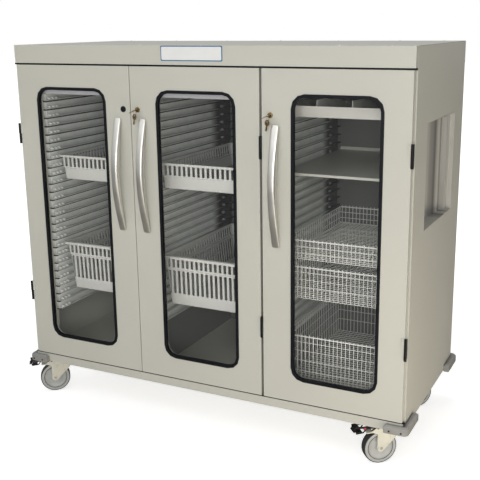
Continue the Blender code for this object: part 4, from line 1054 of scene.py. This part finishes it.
class CABINET_OT_build_handles(bpy.types.Operator):
    """Model the bowed satin handles"""

    bl_idname = "cabinet.build_handles"
    bl_label = "Build Handles"

    HANDLE_STEPS = 48
    HANDLE_SIDES = 32
    HANDLE_END = 0.010
    HANDLE_DEPTH = 0.026
    HANDLE_POST = 0.007
    HANDLE_POST_INSET = 0.012
    HANDLE_SQUARENESS_SHARE = 0.6
    HANDLE_ROUND_SHARE = 0.03
    HANDLE_END_WIDTH_SHARE = 0.98
    HANDLE_END_DEPTH_SHARE = 0.34
    HANDLE_TIP_WIDTH_SHARE = 0.72
    HANDLE_TIP_DEPTH_SHARE = 0.3

    def handle(self, low, high):
        """A bowed handle: an oval section led along the bow, drawn in at both rounded ends."""
        face = door_face()
        shape = bmesh.new()
        ring = bmesh.ops.create_circle(shape, segments=self.HANDLE_SIDES, radius=1)["verts"]
        home = [vertex.co.copy() for vertex in ring]
        half_width, half_length = (high.x - low.x) / 2, (high.z - low.z) / 2
        middle = (low + high) / 2

        def set_ring(verts, share):
            """Sets a ring at a share from the top, -1, to the bottom, 1."""
            quarter = math.pi / 2
            bow = math.cos(quarter * share)
            out = self.HANDLE_END + (face - low.y - self.HANDLE_END) * bow
            into_end = max(abs(share) - 1 + self.HANDLE_ROUND_SHARE, 0) / self.HANDLE_ROUND_SHARE
            left = math.sqrt(max(1 - into_end * into_end, 0))
            depth = self.HANDLE_DEPTH * part_way(self.HANDLE_END_DEPTH_SHARE, 1, bow)
            depth *= part_way(self.HANDLE_TIP_DEPTH_SHARE, 1, left)
            width = half_width * part_way(self.HANDLE_END_WIDTH_SHARE, 1, bow)
            width *= part_way(self.HANDLE_TIP_WIDTH_SHARE, 1, left)
            tilt = math.atan2((face - low.y) * quarter * math.sin(quarter * share), half_length)
            for vertex, place in zip(verts, home):
                across = math.copysign(abs(place.x) ** self.HANDLE_SQUARENESS_SHARE, place.x) * width
                deep = math.copysign(abs(place.y) ** self.HANDLE_SQUARENESS_SHARE, place.y) * depth / 2
                y = face - out + depth / 2 + deep * math.cos(tilt)
                z = middle.z - share * half_length + deep * math.sin(tilt)
                vertex.co = Vector((middle.x + across, y, z))

        steps = range(self.HANDLE_STEPS + 1)
        shares = [-math.cos(math.pi * step / self.HANDLE_STEPS) for step in steps]
        set_ring(ring, shares[0])
        edges = list(shape.edges)
        bmesh.ops.contextual_create(shape, geom=edges)
        for share in shares[1:]:
            made = bmesh.ops.extrude_edge_only(shape, edges=edges)["geom"]
            verts = [part for part in made if isinstance(part, bmesh.types.BMVert)]
            edges = [part for part in made if isinstance(part, bmesh.types.BMEdge)]
            set_ring(verts, share)
        bmesh.ops.contextual_create(shape, geom=edges)
        bmesh.ops.recalc_face_normals(shape, faces=shape.faces)
        for height in (low.z + self.HANDLE_POST_INSET, high.z - self.HANDLE_POST_INSET):
            post = (middle.x, face - self.HANDLE_END, height), (middle.x, face, height)
            rod(shape, *post, self.HANDLE_POST, self.HANDLE_SIDES)
        return shape

    def execute(self, context):
        for number in COLUMNS:
            node = f"handle_{number}"
            shape = self.handle(*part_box(node))
            new_piece(f"bowed_{node}", shape, nickel(), f"door_{number}", (node,))
        return {"FINISHED"}


class CABINET_OT_build_hinge_wings(bpy.types.Operator):
    """Model the black plates and barrel covers that hide the painted knuckles"""

    bl_idname = "cabinet.build_hinge_wings"
    bl_label = "Build Hinge Wings"

    WING_WIDTH = 0.010
    WING = 0.0022
    WING_ROUNDING = 0.003
    COVER_RADIUS = 0.0052
    SKIN = 0.0003

    def execute(self, context):
        for number, end in itertools.product(COLUMNS, ENDS):
            door_low, door_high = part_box(f"door_{number}")
            low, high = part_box(f"hinge_{number}_{end}")
            right_hand = (low.x + high.x) / 2 > (door_low.x + door_high.x) / 2
            sign = 1 if right_hand else -1
            axis_x, axis_y = joint(f"door_{number}_swing")["pos_m"][:2]
            edge = door_high.x if right_hand else door_low.x
            left, right = sorted((edge - sign * self.WING_WIDTH, axis_x))
            back = door_face() - self.SKIN
            shape = bmesh.new()
            near = (left, axis_y - self.WING, low.z)
            block(shape, near, (right, back, high.z), self.WING_ROUNDING, axis=1)
            start = (axis_x, axis_y, (low.z + high.z) / 2 + self.SKIN)
            rod(shape, start, (axis_x, axis_y, high.z + self.SKIN), self.COVER_RADIUS, 20)
            new_piece(f"wing_{number}_{end}", shape, black_plastic(), f"door_{number}")
        return {"FINISHED"}


class CABINET_OT_build_locks(bpy.types.Operator):
    """Model the locks with their cams, a key in each and another that hangs from it on a ring"""

    bl_idname = "cabinet.build_locks"
    bl_label = "Build Locks"

    KEY = 0.0018
    BOW = 0.0105
    BLADE = 0.028
    KEY_EDGE = 0.0006
    KEY_HOLE_SHARE = 0.3
    KEY_HOLE_PLACE_SHARE = 0.5
    BLADE_WIDTH_SHARE = 0.36
    FRONT_KEY_OUT = 0.018
    FRONT_KEY_TURN = math.radians(-25)
    HANG = 0.025
    HANGING_KEY_LEFT = 0.004
    HANGING_KEY_LEAN = math.radians(8)
    HANGING_KEY_TURN = math.radians(20)
    RING = 0.0085
    RING_WIRE = 0.0007
    RING_DROP = 0.010
    RING_STEPS = 24
    LOCK_BELOW_TOP = 0.010
    LOCK_FACE = 0.0098
    LOCK_PROUD = 0.0052
    LOCK_BODY = 0.0255
    LOCK_SHARES = (
        (0, 1), (0.53, 1), (0.55, 0.88), (0.69, 0.88), (0.92, 0.77), (1, 0.54), (1, 0), (0.59, -0.08),
    )
    CAM_HALF = 0.005
    CAM_LENGTH = 0.035
    CAM = 0.0015

    def key(self, place, turn):
        """A flat key with a pierced bow; its blade points up until it is turned and put in place."""
        flat = Matrix.Rotation(math.pi / 2, 4, "X")
        discs = []
        for radius, drop, depth in (
            (self.BOW, 0, self.KEY),
            (self.KEY_HOLE_SHARE * self.BOW, self.KEY_HOLE_PLACE_SHARE * self.BOW, 2 * self.KEY),
        ):
            disc = bmesh.new()
            seat = Matrix.Translation((0, 0, -drop)) @ flat
            size = {"radius1": radius, "radius2": radius, "depth": depth}
            bmesh.ops.create_cone(disc, cap_ends=True, segments=28, matrix=seat, **size)
            discs.append(disc)
        shape = carved(*discs)
        half = self.BLADE_WIDTH_SHARE * self.BOW
        block(shape, (-half, -self.KEY / 2, 0), (half, self.KEY / 2, self.BLADE), self.KEY_EDGE)
        bmesh.ops.transform(shape, matrix=Matrix.Translation(place) @ turn, verts=shape.verts)
        return shape

    def key_ring(self, place):
        """A wire ring that stands upright, square to the door."""
        spots = []
        for step in range(self.RING_STEPS + 1):
            angle = math.tau * step / self.RING_STEPS
            spots.append(place + self.RING * Vector((0, math.cos(angle), math.sin(angle))))
        return bent_wire(bmesh.new(), spots, self.RING_WIRE)

    def execute(self, context):
        face = door_face()
        into_lock = Matrix.Rotation(self.FRONT_KEY_TURN, 4, "Y") @ Matrix.Rotation(math.pi / 2, 4, "Z")
        into_lock = into_lock @ Matrix.Rotation(-math.pi / 2, 4, "X")
        hung = Matrix.Rotation(math.pi + self.HANGING_KEY_LEAN, 4, "Y")
        hung = hung @ Matrix.Rotation(self.HANGING_KEY_TURN, 4, "Z")
        out = face - self.FRONT_KEY_OUT
        for number in COLUMNS[1:]:
            node = f"lock_{number}"
            low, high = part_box(node)
            x = (low.x + high.x) / 2
            z = high.z - self.LOCK_BELOW_TOP
            profile = outline_of(self.LOCK_SHARES, self.LOCK_FACE, self.LOCK_PROUD)
            profile += [(profile[-1][0], -self.LOCK_BODY), (0, -self.LOCK_BODY)]
            head = turned(profile, (x, face, z), (0, -1, 0), 40)
            near = (x - self.CAM_HALF, high.y - self.CAM, z - self.CAM_LENGTH)
            far = (x + self.CAM_HALF, high.y, z + self.CAM_HALF)
            cam = block(bmesh.new(), near, far, self.CAM_HALF / 2, axis=1)
            front_key = self.key(Vector((x, out, z)), into_lock)
            ring = self.key_ring(Vector((x, out - self.KEY, z - self.RING_DROP)))
            hanging_key = self.key(Vector((x - self.HANGING_KEY_LEFT, out, z - self.HANG)), hung)
            shape = gathered([head, cam, front_key, ring, hanging_key])
            new_piece(f"key_{node}", shape, brass(), node, (node,))
        return {"FINISHED"}


class CABINET_OT_build_plug(bpy.types.Operator):
    """Model the ringed plug in the lock hole of the first door"""

    bl_idname = "cabinet.build_plug"
    bl_label = "Build Plug"

    PLUG_DEPTH = 0.012
    PLUG_FACE = 0.0115
    PLUG_PROUD = 0.0028
    PLUG_SHARES = ((0, 0.57), (0.48, 0.57), (0.54, 1), (0.85, 1), (0.97, 0.71), (1, 0.14), (0.68, 0.1))

    def execute(self, context):
        low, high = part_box("hole_plug")
        x, z = (low.x + high.x) / 2, (low.z + high.z) / 2
        profile = outline_of(self.PLUG_SHARES, self.PLUG_FACE, self.PLUG_PROUD)
        profile += [(profile[-1][0], -self.PLUG_DEPTH), (0, -self.PLUG_DEPTH)]
        shape = turned(profile, (x, door_face(), z), (0, -1, 0), 40)
        new_piece("ringed_hole_plug", shape, black_plastic(), "door_1", ("hole_plug",))
        return {"FINISHED"}


class CABINET_OT_build_casters(bpy.types.Operator):
    """Model the casters: wheels with treads, forks with ribs, and brake pedals on the front ones"""

    bl_idname = "cabinet.build_casters"
    bl_label = "Build Casters"

    HUB_HALF = 0.0176
    CENTRE_SHARES = (
        (0.10, 1), (0.24, 1), (0.256, 0.94), (0.264, 0.60), (0.29, 0.56), (0.48, 0.51),
        (0.67, 0.58), (0.72, 0.72), (0.74, 0.86), (0.80, 0.89), (0.90, 0.88), (0.94, 0.84),
    )
    RING_SHARES = ((0.745, 0.80), (0.745, 0.90), (0.775, 0.91), (0.775, 0.80))
    TREAD_SHARES = ((0.93, 0.78), (0.945, 0.89), (0.975, 0.87), (0.995, 0.72), (1, 0.55), (1, 0))

    FORK_EDGE = 0.0008
    FORK_HALF = 0.0215
    HOOD_LIP_BACK = -0.106
    HOOD_LIP_FRONT = -0.080
    HOOD_LIP_LOW = 0.1245
    HOOD_LIP_HIGH = 0.1285
    HOOD_ROUNDING = 0.0018
    RIBS = 3
    RIB_PITCH = 0.015
    FIRST_RIB = -0.014
    FIRST_RIB_FOOT = 0.092
    RIB_TOP = 0.1465
    RIB = 0.0016
    AXLE = 0.0055
    AXLE_PROUD = 0.0026

    PEDAL_EDGE = 0.001
    PEDAL_REACH = 0.090
    PEDAL_FRAME_HALF = 0.0165
    PEDAL_BAR = 0.0024
    PEDAL_FRAME_SHARES = (
        (0.02, 0.02), (0.45, 0.11), (0.97, 0.09), (0.90, -0.15), (0.62, -0.13), (0.50, 0.02),
    )
    TREAD_OUT_SHARES = (0.66, 0.90)
    TREAD_LOW_SHARE = -0.13
    TREAD_HIGH_SHARE = -0.08
    MARK = 0.0042
    MARK_THICKNESS = 0.0012
    MARK_PLACE_SHARES = (0.56, 0.05)

    def wheel(self, corner, roll):
        """A wheel's plastic centre, and its rubber tread with a dark ring on each face."""
        body = f"caster_wheel_{corner}"
        low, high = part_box(body)
        radius = (high.z - low.z) / 2
        profiles = [both_sides(outline_of(self.CENTRE_SHARES, radius, self.HUB_HALF))]
        profiles.append(both_sides(outline_of(self.TREAD_SHARES, radius, self.HUB_HALF)))
        for side in (-1, 1):
            ring = outline_of(self.RING_SHARES, radius, side * self.HUB_HALF)
            profiles.append(ring + ring[:1])
        place, axis = Vector(roll["pos_m"]), Vector(roll["axis"]).normalized()
        centre, *dark = [turned(profile, place, axis, 64) for profile in profiles]
        new_piece(f"wheel_centre_{corner}", centre, wheel_plastic(), body, (body,))
        new_piece(f"wheel_tread_{corner}", gathered(dark), tread_rubber(), body, (body,))

    def fork(self, corner, roll, swivel):
        """A fork with the lip of its hood, ribs on its cheeks and the ends of the axle."""
        body = f"caster_fork_{corner}"
        soften(body, fork_paint(), body, self.FORK_EDGE)
        axle, axis = Vector(roll["pos_m"]), Vector(roll["axis"]).normalized()
        turn = Matrix.Rotation(math.atan2(-axis.x, axis.y), 4, "Z")
        near = (self.HOOD_LIP_BACK, -self.FORK_HALF, self.HOOD_LIP_LOW)
        far = (self.HOOD_LIP_FRONT, self.FORK_HALF, self.HOOD_LIP_HIGH)
        shape = block(bmesh.new(), near, far, self.HOOD_ROUNDING, steps=2)
        for side in (-self.FORK_HALF, self.FORK_HALF):
            for number in range(self.RIBS):
                along = self.FIRST_RIB + number * self.RIB_PITCH
                foot = self.FIRST_RIB_FOOT + number * self.RIB_PITCH
                rod(shape, (along, side, foot), (along, side, self.RIB_TOP), self.RIB, 12)
        standing = Vector((*swivel["pos_m"][:2], 0))
        bmesh.ops.transform(shape, matrix=Matrix.Translation(standing) @ turn, verts=shape.verts)
        new_piece(f"fork_ribs_{corner}", shape, fork_paint(), body)
        half = axis * (self.FORK_HALF + self.AXLE_PROUD)
        pin = rod(bmesh.new(), axle - half, axle + half, self.AXLE, 24)
        new_piece(f"axle_{corner}", pin, nickel(), body)

    def pedal(self, corner, brake):
        """A brake pedal with a frame of bars on each side, a lower tread and a red mark on each frame."""
        body = f"brake_pedal_{corner}"
        soften(body, black_plastic(), body, self.PEDAL_EDGE)
        axis = Vector(brake["axis"])
        turn = Matrix.Rotation(math.atan2(axis.x, -axis.y), 4, "Z")
        to_place = Matrix.Translation(Vector(brake["pos_m"])) @ turn
        bars = bmesh.new()
        marks = bmesh.new()
        for side in (-1, 1):
            across = side * self.PEDAL_FRAME_HALF
            outline = outline_of(self.PEDAL_FRAME_SHARES, -self.PEDAL_REACH, self.PEDAL_REACH)
            bends = [Vector((along, across, rise)) for along, rise in outline]
            for start, end in zip(bends, bends[1:] + bends[:1]):
                rod(bars, start, end, self.PEDAL_BAR, 12)
                ball = {"subdivisions": 2, "radius": self.PEDAL_BAR}
                bmesh.ops.create_icosphere(bars, matrix=Matrix.Translation(start), **ball)
            out, rise = [share * self.PEDAL_REACH for share in self.MARK_PLACE_SHARES]
            face = across + side * self.PEDAL_BAR
            rod(marks, (-out, across, rise), (-out, face + side * self.MARK_THICKNESS, rise), self.MARK, 20)
        near, far = [-share * self.PEDAL_REACH for share in self.TREAD_OUT_SHARES]
        low, high = [share * self.PEDAL_REACH for share in (self.TREAD_LOW_SHARE, self.TREAD_HIGH_SHARE)]
        half = self.PEDAL_FRAME_HALF
        block(bars, (far, -half, low), (near, half, high), self.PEDAL_EDGE)
        for name, shape, material in (("frame", bars, black_plastic()), ("marks", marks, red_mark())):
            bmesh.ops.transform(shape, matrix=to_place, verts=shape.verts)
            new_piece(f"pedal_{name}_{corner}", shape, material, body)

    def execute(self, context):
        for corner in CORNERS:
            roll = joint(f"roll_{corner}")
            self.wheel(corner, roll)
            self.fork(corner, roll, joint(f"swivel_{corner}"))
        for corner in CORNERS[:2]:
            self.pedal(corner, joint(f"brake_{corner}"))
        return {"FINISHED"}


class CABINET_OT_round_bumpers(bpy.types.Operator):
    """Round the corner bumpers and put two screws in each face"""

    bl_idname = "cabinet.round_bumpers"
    bl_label = "Round Bumpers"

    SCREW_RISE = 0.010
    SCREW_OFFSETS = (-0.023, 0.020)
    BUMPER_ROUNDING = 0.002

    def execute(self, context):
        for corner in CORNERS:
            node = f"bumper_{corner}"
            soften(node, bumper_plastic(), "cabinet", self.BUMPER_ROUNDING, 3)
            low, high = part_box(node)
            forward = -1 if corner.startswith("front") else 1
            face = low.y if forward < 0 else high.y
            centre = (low.x + high.x) / 2
            screws = []
            for offset in self.SCREW_OFFSETS:
                place = (centre + offset, face, low.z + self.SCREW_RISE)
                screws.append(screw_head(place, (0, forward, 0)))
            name = f"bumper_screws_{corner}"
            new_piece(name, gathered(screws), black_plastic(), "cabinet")
        return {"FINISHED"}


class CABINET_OT_add_gap_strips(bpy.types.Operator):
    """Put dark strips in the gaps above and below the doors and between the last two, as painted shade
    where only shade lies.
    """

    bl_idname = "cabinet.add_gap_strips"
    bl_label = "Add Gap Strips"

    STRIP_SETBACK = 0.002
    STRIP_DEPTH = 0.010
    STRIP_GAP = 0.0003
    STRIP_HINGE_GAP = 0.001
    LOW_STRIP_DROP = 0.0045

    def execute(self, context):
        front = door_face() + self.STRIP_SETBACK
        back = front + self.STRIP_DEPTH
        lows, highs = zip(*[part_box(f"door_{number}") for number in COLUMNS])
        left, right = lows[0].x, highs[2].x
        top = max(high.z for high in highs)
        bottom = min(low.z for low in lows)
        shape = bmesh.new()
        block(shape, (left, front, top + self.STRIP_GAP), (right, back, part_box("top_cap")[0].z))
        block(shape, (left, front, bottom - self.LOW_STRIP_DROP), (right, back, bottom - self.STRIP_GAP))
        near = (highs[1].x + self.STRIP_GAP, front, lows[1].z)
        block(shape, near, (lows[2].x - self.STRIP_HINGE_GAP, back, top))
        # The strips take the black rubber as painted shade
        new_piece("gap_shade_strips", shape, rubber(), "cabinet")
        return {"FINISHED"}


class CABINET_OT_add_cap_screws(bpy.types.Operator):
    """Put rows of screws along the front and back edges of the cap's top"""

    bl_idname = "cabinet.add_cap_screws"
    bl_label = "Add Cap Screws"

    TOP_SCREWS_SHARES = (0.05, 0.20, 0.36, 0.52, 0.68, 0.84, 0.95)
    TOP_SCREW_INSET = 0.012

    def execute(self, context):
        low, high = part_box("top_cap")
        screws = []
        for y in (low.y + self.TOP_SCREW_INSET, high.y - self.TOP_SCREW_INSET):
            for share in self.TOP_SCREWS_SHARES:
                place = (low.x + share * (high.x - low.x), y, high.z)
                screws.append(screw_head(place, (0, 0, 1)))
        new_piece("cap_screws", gathered(screws), nickel(), "cabinet")
        return {"FINISHED"}


class CABINET_OT_build_plate(bpy.types.Operator):
    """Model the bare plate and its border on the fascia"""

    bl_idname = "cabinet.build_plate"
    bl_label = "Build Plate"

    PLATE_LEFT = -0.128
    PLATE_RIGHT = 0.121
    PLATE_LOW = 1.4205
    PLATE_HIGH = 1.4735
    PLATE = 0.0012
    PLATE_BORDER = 0.0035
    PLATE_ROUNDING = 0.004
    PLATE_SEAT = 0.0001
    FIELD_RISE = 0.0002

    def execute(self, context):
        low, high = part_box("top_cap")
        middle = (low.x + high.x) / 2
        back = low.y - self.PLATE_SEAT
        for name, inset, depth, material in (
            ("plate_border", 0, self.PLATE, plate_blue()),
            ("plate_field", self.PLATE_BORDER, self.PLATE + self.FIELD_RISE, plate_white()),
        ):
            near = (middle + self.PLATE_LEFT + inset, low.y - depth, self.PLATE_LOW + inset)
            far = (middle + self.PLATE_RIGHT - inset, back, self.PLATE_HIGH - inset)
            shape = block(bmesh.new(), near, far, self.PLATE_ROUNDING, axis=1)
            new_piece(name, shape, material, "cabinet")
        return {"FINISHED"}


def area_lamp(name, place, target, size, power, colour):
    """A rectangular lamp that faces a target."""
    data = bpy.data.lights.new(name, "AREA")
    data.shape = "RECTANGLE"
    data.size, data.size_y = size
    data.energy = power
    data.color = colour
    lamp = bpy.data.objects.new(name, data)
    bpy.context.scene.collection.objects.link(lamp)
    lamp.location = place
    lamp.rotation_euler = (Vector(target) - Vector(place)).to_track_quat("-Z", "Y").to_euler()


class CABINET_OT_set_stage(bpy.types.Operator):
    """Make the floor, the lamps, the plain surroundings and the camera"""

    bl_idname = "cabinet.set_stage"
    bl_label = "Set Stage"

    FLOOR_HALF = 30
    FADE_START = 1.0
    FADE_END = 2.6
    NEAR_GLOW = 0.65
    FAR_GLOW = 1.0
    LIT_STRENGTH = 0.25
    MIRRORED_STRENGTH = 0.55
    SEEN_STRENGTH = 1.0
    VIEW_END = 100
    # Name, place, target, width and height, and power of each lamp
    LAMPS = (
        ("key_lamp", (1.5, -4.0, 1.5), (0.1, 0, 0.7), (2.4, 1.8), 73),
        ("handle_lamp", (-1.5, -3.0, 3.6), (0, 0, 1.1), (3.0, 1.6), 30),
        ("top_lamp", (0.2, 0.6, 4.2), (0, 0.3, 0.8), (2.0, 1.6), 28),
    )
    SIDE_LAMP = ("side_lamp", (1.9, -0.9, 0.12), (0.84, 0.05, 0.25), (0.8, 0.4), 9)

    def floor_material(self):
        """A pale floor that keeps a shadow near the cabinet and fades to white in the distance."""
        material = bpy.data.materials.new("Floor")
        material.use_nodes = True
        tree = material.node_tree
        shader = tree.nodes["Principled BSDF"]
        set_sockets(shader, Roughness=0.8, Emission_Color=(1, 1, 1, 1))
        rays = add_node(tree, "ShaderNodeLightPath")
        mirrored = add_node(tree, "ShaderNodeMix", data_type="RGBA")
        mirrored.inputs["A"].default_value = (*colours().floor, 1)
        mirrored.inputs["B"].default_value = (*colours().mirrored_floor, 1)
        bounced = add_node(tree, "ShaderNodeMix", data_type="RGBA")
        bounced.inputs["B"].default_value = (*colours().bounced_floor, 1)
        place = add_node(tree, "ShaderNodeTexCoord")
        distance = add_node(tree, "ShaderNodeVectorMath", operation="LENGTH")
        fade = add_node(tree, "ShaderNodeMapRange", interpolation_type="SMOOTHSTEP")
        set_sockets(fade, From_Min=self.FADE_START, From_Max=self.FADE_END)
        set_sockets(fade, To_Min=self.NEAR_GLOW, To_Max=self.FAR_GLOW)
        glow = add_node(tree, "ShaderNodeMath", operation="MULTIPLY")
        links = tree.links
        links.new(rays.outputs["Is Glossy Ray"], mirrored.inputs["Factor"])
        links.new(mirrored.outputs["Result"], bounced.inputs["A"])
        links.new(rays.outputs["Is Diffuse Ray"], bounced.inputs["Factor"])
        links.new(bounced.outputs["Result"], shader.inputs["Base Color"])
        links.new(place.outputs["Object"], distance.inputs[0])
        links.new(distance.outputs["Value"], fade.inputs["Value"])
        links.new(fade.outputs["Result"], glow.inputs[0])
        links.new(rays.outputs["Is Camera Ray"], glow.inputs[1])
        links.new(glow.outputs["Value"], shader.inputs["Emission Strength"])
        return material

    def floor(self):
        shape = bmesh.new()
        bmesh.ops.create_grid(shape, x_segments=1, y_segments=1, size=self.FLOOR_HALF)
        floor = new_object("floor", shape)
        floor.data.materials.append(self.floor_material())

    def surroundings(self):
        """White to the camera and through the panes, dimmer in mirrors and dimmest as light."""
        world = bpy.data.worlds.new("Surroundings")
        bpy.context.scene.world = world
        world.use_nodes = True
        tree = world.node_tree
        background = tree.nodes["Background"]
        background.inputs["Color"].default_value = (1, 1, 1, 1)
        rays = add_node(tree, "ShaderNodeLightPath")
        seen = add_node(tree, "ShaderNodeMath", operation="MAXIMUM")
        dim = add_node(tree, "ShaderNodeMapRange")
        set_sockets(dim, To_Min=self.LIT_STRENGTH, To_Max=self.MIRRORED_STRENGTH)
        strength = set_sockets(add_node(tree, "ShaderNodeMapRange"), To_Max=self.SEEN_STRENGTH)
        links = tree.links
        links.new(rays.outputs["Is Glossy Ray"], dim.inputs["Value"])
        links.new(dim.outputs["Result"], strength.inputs["To Min"])
        links.new(rays.outputs["Is Camera Ray"], seen.inputs[0])
        links.new(rays.outputs["Is Transmission Ray"], seen.inputs[1])
        links.new(seen.outputs["Value"], strength.inputs["Value"])
        links.new(strength.outputs["Result"], background.inputs["Strength"])

    def camera(self, view):
        """The camera at the photograph's angle, rolled round its line of sight."""
        data = bpy.data.cameras.new("camera")
        data.lens = view.lens
        data.shift_x, data.shift_y = view.shift
        data.clip_end = self.VIEW_END
        camera = bpy.data.objects.new("camera", data)
        bpy.context.scene.collection.objects.link(camera)
        level = math.cos(view.pitch)
        ahead = (-math.sin(view.yaw) * level, math.cos(view.yaw) * level, -math.sin(view.pitch))
        forward = Vector(ahead)
        right = forward.cross(Vector((0, 0, 1))).normalized()
        up = right.cross(forward)
        rolled_right = right * math.cos(view.roll) + up * math.sin(view.roll)
        rolled_up = up * math.cos(view.roll) - right * math.sin(view.roll)
        turn = Matrix((rolled_right, rolled_up, -forward)).transposed().to_4x4()
        camera.matrix_world = Matrix.Translation(view.camera_place) @ turn
        bpy.context.scene.camera = camera

    def execute(self, context):
        self.floor()
        self.surroundings()
        for lamp in self.LAMPS:
            area_lamp(*lamp, colours().light)
        area_lamp(*self.SIDE_LAMP, colours().side_light)
        self.camera(context.scene.cabinet_view)
        context.scene.view_settings.view_transform = "Standard"
        return {"FINISHED"}


class CABINET_PT_build(bpy.types.Panel):
    """The cabinet's pieces, colours and view"""

    bl_label = "Storage Cabinet"
    bl_space_type = "VIEW_3D"
    bl_region_type = "UI"
    bl_category = "Cabinet"

    def draw(self, context):
        layout = self.layout
        for operator in OPERATORS:
            layout.operator(operator.bl_idname)
        for group in (colours(), sizes(), context.scene.cabinet_view):
            for name in group.__annotations__:
                layout.prop(group, name)


OPERATORS = (
    CABINET_OT_finish_solids,
    CABINET_OT_round_sheets,
    CABINET_OT_build_trays,
    CABINET_OT_build_baskets,
    CABINET_OT_build_guides,
    CABINET_OT_build_handles,
    CABINET_OT_build_hinge_wings,
    CABINET_OT_build_locks,
    CABINET_OT_build_plug,
    CABINET_OT_build_casters,
    CABINET_OT_round_bumpers,
    CABINET_OT_add_gap_strips,
    CABINET_OT_add_cap_screws,
    CABINET_OT_build_plate,
    CABINET_OT_set_stage,
)
CLASSES = (CabinetColours, CabinetSizes, CabinetView, *OPERATORS, CABINET_PT_build)


def register():
    for item in CLASSES:
        bpy.utils.register_class(item)
    bpy.types.Scene.cabinet_colours = bpy.props.PointerProperty(type=CabinetColours)
    bpy.types.Scene.cabinet_sizes = bpy.props.PointerProperty(type=CabinetSizes)
    bpy.types.Scene.cabinet_view = bpy.props.PointerProperty(type=CabinetView)


def unregister():
    del bpy.types.Scene.cabinet_view
    del bpy.types.Scene.cabinet_sizes
    del bpy.types.Scene.cabinet_colours
    for item in reversed(CLASSES):
        bpy.utils.unregister_class(item)


def main():
    register()
    for operator in OPERATORS:
        group, name = operator.bl_idname.split(".")
        getattr(getattr(bpy.ops, group), name)()


if __name__ == "__main__":
    main()
